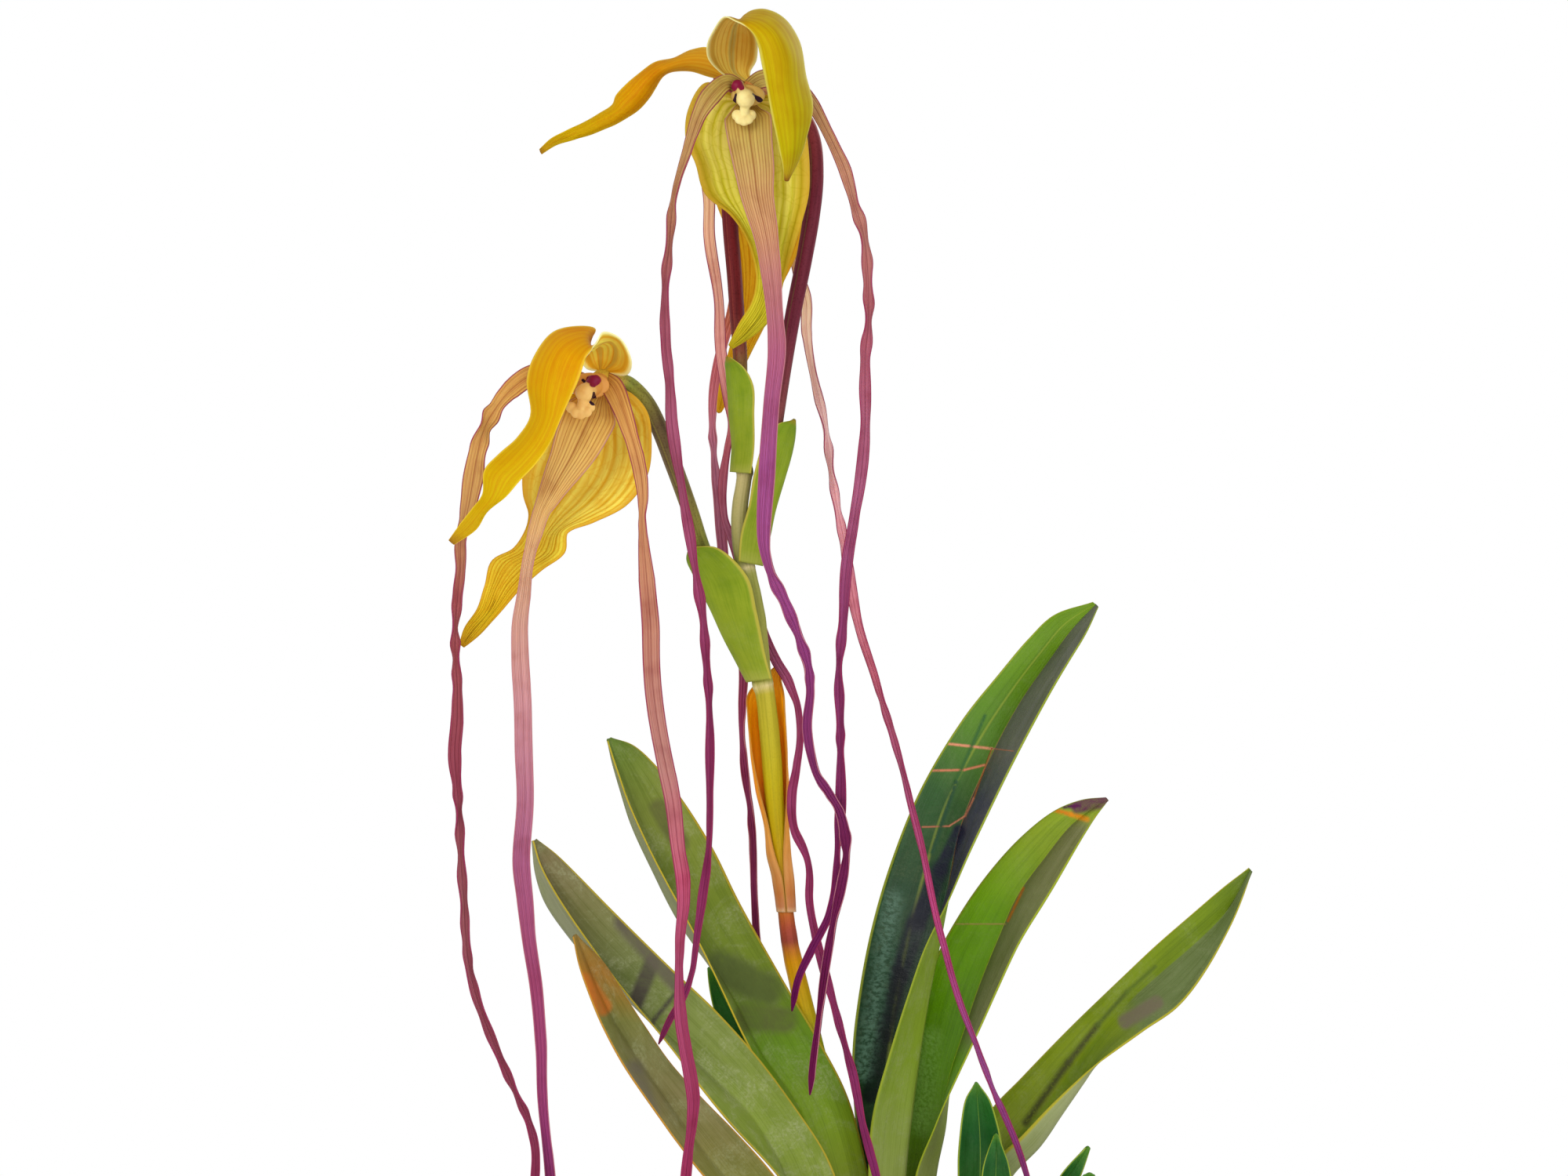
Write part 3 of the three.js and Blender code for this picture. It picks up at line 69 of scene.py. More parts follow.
# Leaves, young leaves, bracts and sepals: rows of (left or near edge, middle, right or far
# edge) from the base to the tip; a fourth point gives the near half of a leaf its belly.
# Pedicels and the scape: rows of track point and radius. Ribbons: rows of track point, width
# and turn from face-on in degrees.
LEAF_ROWS = {
    "leaf_left_upper": [
        ((1116, 1712, -14), (1090, 1712, -9.5), (1118, 1712, -5)),
        ((1092, 1590, -15), (1066, 1590, -12), (1118, 1570, -6)),
        ((1060, 1500, -21), (1046, 1495, -12), (1106, 1491, -5)),
        ((1005, 1420, -24), (1016, 1412, -10), (1082, 1401, -3)),
        ((963, 1349, -26), (970, 1345, -8), (1049, 1335, -2)),
        ((923, 1268, -26), (926, 1262, -6), (998, 1249, 0)),
        ((884, 1188, -26), (866, 1177, -6), (944, 1153, 1)),
        ((850, 1124, -25), (831, 1109, -6), (909, 1082, 1)),
        ((822, 1069, -22), (804, 1050, -7), (868, 1017, 0)),
        ((802, 1024, -18), (791, 1008, -8), (835, 975, -3)),
        ((787, 984, -13), (781, 971, -9), (807, 950, -6)),
        ((775, 945, -10), (776, 942, -9), (779, 941, -8)),
    ],
    "leaf_left_middle": [
        ((1104, 1716, -25), (1080, 1716, -21), (1106, 1716, -17)),
        ((1075, 1610, -29), (1060, 1600, -23), (1100, 1590, -20)),
        ((1020, 1540, -38), (1010, 1530, -28), (1075, 1525, -25)),
        ((984, 1491, -46), (990, 1478, -31), (1052, 1470, -28)),
        ((932, 1434, -49), (950, 1415, -33), (1011, 1408, -29)),
        ((898, 1392, -50), (908, 1375, -34), (966, 1348, -29)),
        ((859, 1341, -50), (858, 1330, -34), (911, 1287, -30)),
        ((816, 1287, -50), (810, 1285, -34), (860, 1239, -30)),
        ((770, 1228, -50), (760, 1235, -34), (817, 1197, -30)),
        ((735, 1180, -48), (725, 1195, -35), (775, 1155, -31)),
        ((705, 1133, -44), (694, 1149, -36), (738, 1117, -33)),
        ((688, 1100, -40), (683, 1112, -36), (708, 1088, -35)),
        ((680, 1072, -37), (680, 1073, -36), (684, 1070, -35)),
    ],
    "leaf_left_lower": [
        ((1092, 1720, -36), (1070, 1720, -32), (1094, 1720, -28)),
        ((1040, 1640, -45), (1030, 1630, -38), (1075, 1625, -34)),
        ((970, 1570, -60), (972, 1555, -49), (1030, 1560, -44)),
        ((900, 1504, -67), (912, 1488, -55), (985, 1496, -50)),
        ((863, 1456, -70), (877, 1442, -58), (940, 1446, -53)),
        ((825, 1400, -72), (838, 1388, -60), (896, 1401, -55)),
        ((792, 1352, -72), (806, 1342, -60), (854, 1354, -56)),
        ((768, 1306, -72), (780, 1300, -61), (822, 1308, -57)),
        ((750, 1265, -70), (760, 1260, -62), (795, 1267, -58)),
        ((738, 1228, -67), (747, 1228, -62), (768, 1226, -59)),
        ((731, 1195, -63), (733, 1192, -61), (736, 1194, -60)),
    ],
    "leaf_right_inner": [
        ((1130, 1712, -7), (1158, 1712, -1), (1130, 1712, 3)),
        ((1112, 1600, -12), (1150, 1600, -3), (1118, 1600, 8)),
        ((1108, 1500, -16), (1155, 1500, 0), (1100, 1500, 10)),
        ((1114, 1423, -18), (1164, 1420, 2), (1090, 1420, 12)),
        ((1134, 1348, -18), (1174, 1345, 4), (1087, 1345, 14)),
        ((1158, 1270, -18), (1186, 1270, 6), (1096, 1264, 15)),
        ((1181, 1206, -15), (1200, 1200, 9), (1112, 1182, 16)),
        ((1209, 1150, -8), (1212, 1136, 14), (1136, 1101, 18)),
        ((1245, 1071, 0), (1229, 1050, 20), (1174, 1007, 20)),
        ((1291, 975, 8), (1267, 962, 26), (1226, 920, 24)),
        ((1331, 902, 16), (1303, 895, 32), (1272, 862, 28)),
        ((1365, 842, 26), (1340, 842, 36), (1312, 814, 32)),
        ((1386, 807, 32), (1366, 806, 38), (1345, 784, 36)),
        ((1401, 774, 38), (1398, 771, 39), (1394, 768, 38)),
    ],
    "leaf_right_outer": [
        ((1152, 1712, 3), (1180, 1712, 7), (1150, 1712, 10)),
        ((1160, 1600, 2), (1186, 1600, 8), (1152, 1600, 14)),
        ((1168, 1500, 2), (1194, 1500, 14), (1150, 1500, 20)),
        ((1191, 1440, 2), (1206, 1440, 16), (1158, 1430, 23)),
        ((1217, 1382, 2), (1213, 1378, 18), (1166, 1360, 25)),
        ((1243, 1325, 4), (1230, 1322, 21), (1176, 1290, 27)),
        ((1273, 1261, 8), (1251, 1258, 25), (1193, 1225, 28)),
        ((1302, 1202, 13), (1274, 1200, 30), (1224, 1166, 32)),
        ((1333, 1148, 19), (1299, 1143, 35), (1262, 1112, 36)),
        ((1363, 1097, 27), (1333, 1096, 40), (1303, 1067, 40)),
        ((1386, 1059, 36), (1367, 1054, 44), (1345, 1034, 44)),
        ((1400, 1038, 43), (1393, 1034, 47), (1380, 1020, 46)),
        ((1413, 1022, 48), (1413, 1020, 48), (1410, 1017, 48)),
    ],
    "leaf_right_low": [
        ((1226, 1712, 9), (1252, 1712, 14), (1222, 1712, 16), (1239, 1712, 11)),
        ((1226, 1600, 8), (1252, 1600, 14), (1215, 1600, 18), (1246, 1604, 10)),
        ((1262, 1490, 6), (1276, 1478, 18), (1232, 1476, 22), (1288, 1506, 10)),
        ((1303, 1449, 6), (1305, 1438, 22), (1262, 1418, 26), (1328, 1462, 12)),
        ((1338, 1412, 8), (1339, 1400, 26), (1303, 1374, 30), (1354, 1424, 14)),
        ((1375, 1378, 12), (1373, 1355, 30), (1342, 1334, 34), (1384, 1380, 19)),
        ((1415, 1345, 16), (1408, 1313, 34), (1386, 1290, 38), (1412, 1335, 26)),
        ((1458, 1314, 20), (1446, 1273, 40), (1430, 1248, 42), (1453, 1296, 30)),
        ((1500, 1285, 26), (1484, 1238, 45), (1472, 1208, 46), (1493, 1264, 36)),
        ((1540, 1236, 34), (1528, 1200, 48), (1518, 1168, 49), (1535, 1220, 42)),
        ((1572, 1178, 44), (1567, 1160, 52), (1560, 1132, 51), (1571, 1170, 48)),
        ((1597, 1112, 52), (1595, 1110, 53), (1593, 1107, 52), (1596, 1111, 52)),
    ],
}

YOUNG_LEAF_ROWS = {
    "young_leaf_behind": [
        ((1078, 1712, 12), (1086, 1712, 14), (1094, 1712, 12)),
        ((1030, 1590, 13), (1050, 1590, 16), (1066, 1590, 14)),
        ((992, 1500, 13), (1012, 1500, 16), (1030, 1500, 14)),
        ((950, 1400, 13), (972, 1395, 16), (995, 1385, 14)),
        ((920, 1320, 13), (945, 1315, 16), (968, 1305, 14)),
        ((905, 1262, 13), (916, 1258, 15), (930, 1255, 14)),
        ((902, 1235, 14), (905, 1233, 14), (908, 1234, 14)),
    ],
    "young_leaf_tall": [
        ((1228, 1712, -3), (1240, 1712, 0), (1252, 1712, -3)),
        ((1222, 1600, -5), (1246, 1600, -1), (1270, 1600, -5)),
        ((1222, 1500, -7), (1250, 1500, -2), (1282, 1500, -8)),
        ((1224, 1450, -7), (1250, 1450, -2), (1276, 1450, -8)),
        ((1231, 1405, -6), (1247, 1408, -3), (1263, 1405, -6)),
        ((1243, 1382, -4), (1245, 1380, -4), (1248, 1382, -4)),
    ],
    "young_leaf_short": [
        ((1250, 1712, -12), (1260, 1712, -10), (1270, 1712, -12)),
        ((1246, 1600, -15), (1268, 1600, -12), (1292, 1600, -15)),
        ((1252, 1500, -16), (1270, 1500, -13), (1290, 1500, -16)),
        ((1260, 1468, -15), (1271, 1466, -14), (1281, 1468, -15)),
        ((1268, 1448, -15), (1270, 1446, -15), (1273, 1447, -15)),
    ],
    "young_leaf_pointed": [
        ((1280, 1712, -2), (1290, 1712, 1), (1300, 1712, -2)),
        ((1300, 1620, -4), (1313, 1620, 0), (1326, 1620, -4)),
        ((1328, 1550, -4), (1342, 1550, 0), (1353, 1555, -4)),
        ((1350, 1502, -4), (1362, 1504, -1), (1374, 1512, -4)),
        ((1385, 1464, -3), (1388, 1462, -3), (1391, 1465, -3)),
    ],
    "young_leaf_round": [
        ((1302, 1712, -12), (1312, 1712, -10), (1322, 1712, -12)),
        ((1322, 1620, -14), (1342, 1620, -11), (1362, 1615, -14)),
        ((1350, 1550, -15), (1372, 1548, -12), (1392, 1545, -15)),
        ((1366, 1512, -15), (1386, 1508, -12), (1403, 1508, -15)),
        ((1382, 1499, -13), (1390, 1496, -13), (1396, 1499, -13)),
    ],
}

BRACT_ROWS = {
    "bract_lower": [
        ((984, 866, -7), (953, 870, 0), (984, 866, 7)),
        ((976, 835, -8), (928, 822, 0), (976, 835, 8)),
        ((965, 780, -10), (906, 775, 1), (960, 775, 10)),
        ((953, 735, -11), (889, 740, 1), (925, 722, 12)),
        ((915, 699, -10), (878, 716, -1), (896, 706, 8)),
        ((884, 697, -8), (879, 700, -7), (880, 697, -6)),
    ],
    "bract_middle": [
        ((942, 716, -7), (972, 722, 0), (942, 716, 7)),
        ((945, 682, -7), (982, 682, 0), (946, 682, 7)),
        ((955, 645, -8), (989, 650, 0), (955, 645, 8)),
        ((963, 600, -8), (1001, 610, 0), (963, 600, 8)),
        ((976, 560, -7), (1011, 575, 1), (980, 562, 9)),
        ((990, 542, -6), (1014, 552, 1), (995, 545, 8)),
        ((1010, 536, -1), (1014, 536, 0), (1012, 534, 1)),
    ],
    "bract_top": [
        ((958, 604, -7), (932, 602, 0), (958, 604, 7)),
        ((962, 570, -7), (935, 572, 0), (960, 570, 8)),
        ((962, 530, -7), (932, 535, 1), (958, 530, 8)),
        ((961, 492, -7), (929, 500, 1), (950, 492, 9)),
        ((950, 470, -6), (927, 470, 1), (934, 468, 7)),
        ((931, 455, -4), (927, 457, -3), (928, 454, -2)),
    ],
}

# Track point, first and last angle round it (0 right, 90 back), right and left radius
SHEATH_ROWS = [
    (1003, 1163, 0, -88, 268, 3.4, 3.4), (1001, 1140, 0, -88, 268, 3.7, 3.7),
    (999, 1120, 0, -86, 266, 4, 3.9), (994, 1090, 0, -70, 250, 4.1, 4.6),
    (991, 1060, 0, -50, 232, 4.3, 4.4), (987, 1010, 0, -30, 215, 5.6, 6.6),
    (984, 960, 0, -12, 195, 6, 7.8), (980, 920, 0, -5, 185, 6.4, 7.8), (977, 895, 0, 0, 170, 7, 7.6),
    (975, 870, 3, 34, 110, 8, 8), (973, 850, 7, 42, 56, 9, 9),
]

SCAPE_ROWS = [
    (1112, 1716, 3, 3.6), (1100, 1620, 5, 3.7), (1073, 1490, 6, 3.7), (1045, 1360, 6, 3.7),
    (1020, 1260, 3.5, 3.6), (1008, 1205, 0.5, 3.3), (1002, 1160, 0, 3), (996, 1100, 0, 3.1),
    (989, 1030, 0, 3.6), (983, 950, 0, 3.9), (976, 885, 0, 3.7), (973, 872, 0, 4.1),
    (971, 855, 0, 3.7), (965, 790, 0, 3.6), (954, 732, 0, 3.3), (951, 722, 0, 3.7),
    (947, 708, 0, 3.2), (943, 660, 0, 3.1), (949, 612, 0, 2.9), (950, 602, 0, 3.3),
    (949, 588, 0, 2.8), (947, 540, 0.5, 2.7), (945, 486, 1.5, 2.6),
]

PEDICEL_ROWS = {
    "top_pedicel": [
        (966, 692, 0, 2.3), (974, 650, 0, 2.4), (980, 610, 0, 2.5), (986, 565, 1, 2.7),
        (991, 530, 2, 2.8), (1000, 470, 3, 2.9), (1012, 400, 5, 3), (1026, 330, 7, 3.1),
        (1036, 270, 8, 3.2), (1040, 220, 10, 3.2), (1037, 180, 13, 3.1), (1026, 152, 15, 3),
        (1008, 135, 14, 3), (988, 124, 9, 3), (970, 119, 2, 3.2), (956, 118, -3, 3.4),
    ],
    "left_pedicel": [
        (943, 806, -1, 2.5), (930, 772, 0, 2.6), (912, 732, 0.5, 2.7), (897, 700, -1, 2.9),
        (880, 650, -9, 3.1), (862, 600, -16, 3.2), (842, 548, -24, 3.2), (822, 510, -31, 3.1),
        (800, 489, -34, 3), (784, 486, -37, 3.1), (769, 486, -42, 3.4),
    ],
    "back_pedicel": [
        (945, 484, 1.6, 2.6), (944, 450, 3, 2.7), (941, 410, 8, 2.8), (937, 350, 16, 2.9),
        (932, 290, 24, 3), (929, 220, 32, 3), (929, 160, 36, 3), (930, 128, 40.5, 3.1),
        (930, 110, 45, 3.4),
    ],
}

# Columns: the knob they start from, the round head, the flat collar behind it with its reach,
# the crest and the crescent of the lobe, all as places in the picture.
COLUMN_POINTS = {
    "top": dict(
        knob=(955, 118, -4), head=(951, 126, -20), collar=(954, 122, -12), reach=(6.6, 1.8, 4.2),
        crest=(941, 110, -13), nub=(949, 148, -18),
        lobe=((940.5, 147, -17), (944, 151.5, -18), (949, 153.5, -18), (954, 151.5, -18),
              (957.5, 147, -17))),
    "left": dict(
        knob=(768, 486, -42), head=(746, 501, -60), collar=(752, 492, -50), reach=(7.6, 1.8, 5),
        crest=(758, 485, -54), nub=(741, 521, -60),
        lobe=((729, 520, -59), (735, 526, -60), (741, 527.5, -60), (748, 525, -60), (752, 519, -59))),
    "back": dict(
        knob=(930, 108, 46), head=(928, 116, 62), collar=(930, 112, 54), reach=(6.6, 1.8, 4.2),
        crest=(918, 101, 55), nub=(926, 138, 60),
        lobe=((917.5, 137, 59), (921, 141.5, 60), (926, 143.5, 60), (931, 141.5, 60),
              (934.5, 137, 59))),
}

SEPAL_ROWS = {
    "top_dorsal_sepal": [
        ((944, 107, -7), (951, 104, -4), (959, 105, -3)),
        ((918, 92, -15), (936, 93, -3), (957, 92, -1)),
        ((904, 74, -22), (932, 70, 0), (965, 76, -3)),
        ((904, 52, -28), (934, 48, -2), (966, 56, -7)),
        ((913, 34, -33), (937, 33, -10), (961, 42, -12)),
        ((925, 22, -38), (941, 27, -20), (953, 32, -15)),
        ((939, 27, -42), (944, 26, -30), (947, 24, -18)),
        ((950, 33, -44), (953, 24, -37), (956, 16, -20)),
        ((960, 43, -45), (973, 28, -41), (978, 13, -20)),
        ((967, 57, -46), (990, 42, -45), (1002, 24, -22)),
        ((971, 80, -47), (1003, 72, -46), (1019, 52, -26)),
        ((978, 115, -47), (1006, 108, -47), (1027, 95, -30)),
        ((985, 150, -47), (1012, 147, -46), (1036, 135, -33)),
        ((992, 182, -46), (1013, 180, -46), (1029, 173, -36)),
        ((998, 208, -45), (1010, 208, -44), (1019, 203, -38)),
        ((1001, 229, -42), (1003, 231, -42), (1006, 229, -41)),
    ],
    "top_synsepal": [
        ((944, 126, -3), (954, 131, -1), (965, 126, -3)),
        ((901, 106, -10), (953, 146, 0), (1004, 116, -9)),
        ((880, 140, -11), (952, 168, 0), (1022, 150, -10)),
        ((877, 172, -11), (953, 197, -1), (1029, 195, -10)),
        ((890, 206, -11), (957, 226, -3), (1030, 240, -11)),
        ((901, 243, -12), (963, 260, -5), (1022, 278, -12)),
        ((934, 270, -13), (970, 300, -8), (1008, 322, -13)),
        ((958, 307, -14), (977, 345, -11), (996, 364, -13)),
        ((966, 350, -15), (980, 378, -13), (990, 388, -14)),
        ((960, 385, -16), (970, 402, -15), (978, 412, -15)),
        ((942, 415, -17), (953, 424, -16), (962, 426, -16)),
        ((929, 440, -17), (932, 443, -17), (935, 445, -17)),
    ],
    "left_dorsal_sepal": [
        ((762, 473, -41), (768, 474, -41), (775, 476, -42)),
        ((748, 470, -36), (775, 459, -35), (799, 478, -48)),
        ((741, 461, -35), (776, 443, -39), (805, 460, -55)),
        ((740, 454, -38), (769, 438, -45), (792, 432, -60)),
        ((742, 449, -42), (759, 444, -52), (770, 424, -64)),
        ((746, 444, -46), (754, 445, -56), (762, 437, -67)),
        ((753, 432, -50), (752, 440, -61), (757, 443, -70)),
        ((759, 420, -52), (748, 432, -65), (753, 449, -74)),
        ((738, 416, -56), (735, 434, -70), (747, 457, -77)),
        ((707, 423, -60), (718, 445, -75), (744, 466, -79)),
        ((685, 450, -65), (706, 468, -78), (738, 484, -80)),
        ((673, 484, -69), (699, 500, -79), (727, 508, -80)),
        ((677, 530, -71), (696, 533, -79), (716, 533, -81)),
        ((660, 558, -72), (680, 565, -80), (702, 565, -81)),
        ((636, 579, -75), (658, 590, -81), (685, 590, -82)),
        ((618, 600, -78), (638, 610, -82), (664, 612, -82)),
        ((616, 630, -80), (628, 635, -83), (645, 634, -83)),
        ((603, 648, -82), (612, 655, -84), (622, 652, -84)),
        ((588, 667, -83), (597, 673, -84), (608, 675, -84)),
        ((572, 689, -84), (575, 692, -84), (579, 695, -84)),
    ],
    "left_synsepal": [
        ((760, 496, -40), (768, 498, -40), (775, 497, -42)),
        ((724, 506, -46), (766, 521, -38), (799, 500, -44)),
        ((697, 532, -48), (768, 550, -34), (822, 525, -44)),
        ((680, 567, -50), (765, 585, -36), (828, 562, -46)),
        ((670, 600, -52), (752, 615, -40), (824, 602, -48)),
        ((669, 630, -54), (733, 640, -46), (800, 640, -50)),
        ((677, 655, -56), (712, 662, -51), (758, 663, -53)),
        ((672, 676, -58), (697, 682, -55), (723, 676, -56)),
        ((655, 700, -60), (686, 705, -58), (719, 703, -59)),
        ((628, 716, -62), (660, 722, -60), (690, 726, -61)),
        ((620, 748, -64), (640, 747, -62), (664, 748, -63)),
        ((610, 777, -65), (624, 780, -64), (637, 778, -65)),
        ((593, 800, -66), (603, 805, -66), (614, 807, -66)),
        ((586, 821, -67), (589, 824, -67), (592, 826, -67)),
    ],
    "back_dorsal_sepal": [
        ((925, 92, 46), (928, 97, 45), (930, 103, 46)),
        ((905, 62, 48), (905, 80, 42), (906, 98, 46)),
        ((883, 63, 48), (880, 77, 41), (881, 91, 45)),
        ((860, 73, 47), (858, 82, 40), (858, 92, 44)),
        ((837, 80, 46), (840, 90, 40), (846, 97, 44)),
        ((817, 93, 45), (824, 104, 39), (836, 113, 44)),
        ((800, 107, 44), (812, 119, 39), (827, 126, 44)),
        ((785, 122, 44), (797, 135, 39), (812, 142, 43)),
        ((781, 133, 44), (785, 146, 39), (790, 156, 42)),
        ((763, 145, 43), (766, 156, 39), (770, 165, 41)),
        ((742, 157, 42), (745, 166, 39), (750, 173, 41)),
        ((722, 167, 41), (725, 174, 40), (730, 179, 40)),
        ((703, 177, 41), (706, 182, 40), (710, 185, 40)),
        ((688, 190, 40), (689, 194, 40), (691, 197, 40)),
    ],
    "back_synsepal": [
        ((922, 120, 48), (931, 122, 48), (940, 119, 48)),
        ((908, 140, 51), (938, 144, 47), (985, 132, 51)),
        ((905, 175, 52), (948, 180, 47), (1015, 172, 52)),
        ((908, 215, 52), (953, 225, 47), (1030, 222, 52)),
        ((912, 260, 51), (960, 270, 46), (1031, 272, 51)),
        ((926, 300, 49), (967, 310, 45), (1020, 318, 49)),
        ((937, 345, 47), (965, 355, 43), (1001, 360, 46)),
        ((939, 395, 44), (958, 400, 41), (982, 405, 43)),
        ((930, 440, 41), (944, 445, 39), (961, 446, 40)),
        ((918, 485, 38), (926, 490, 37), (938, 492, 37)),
        ((914, 525, 36), (917, 527, 36), (921, 525, 36)),
    ],
}

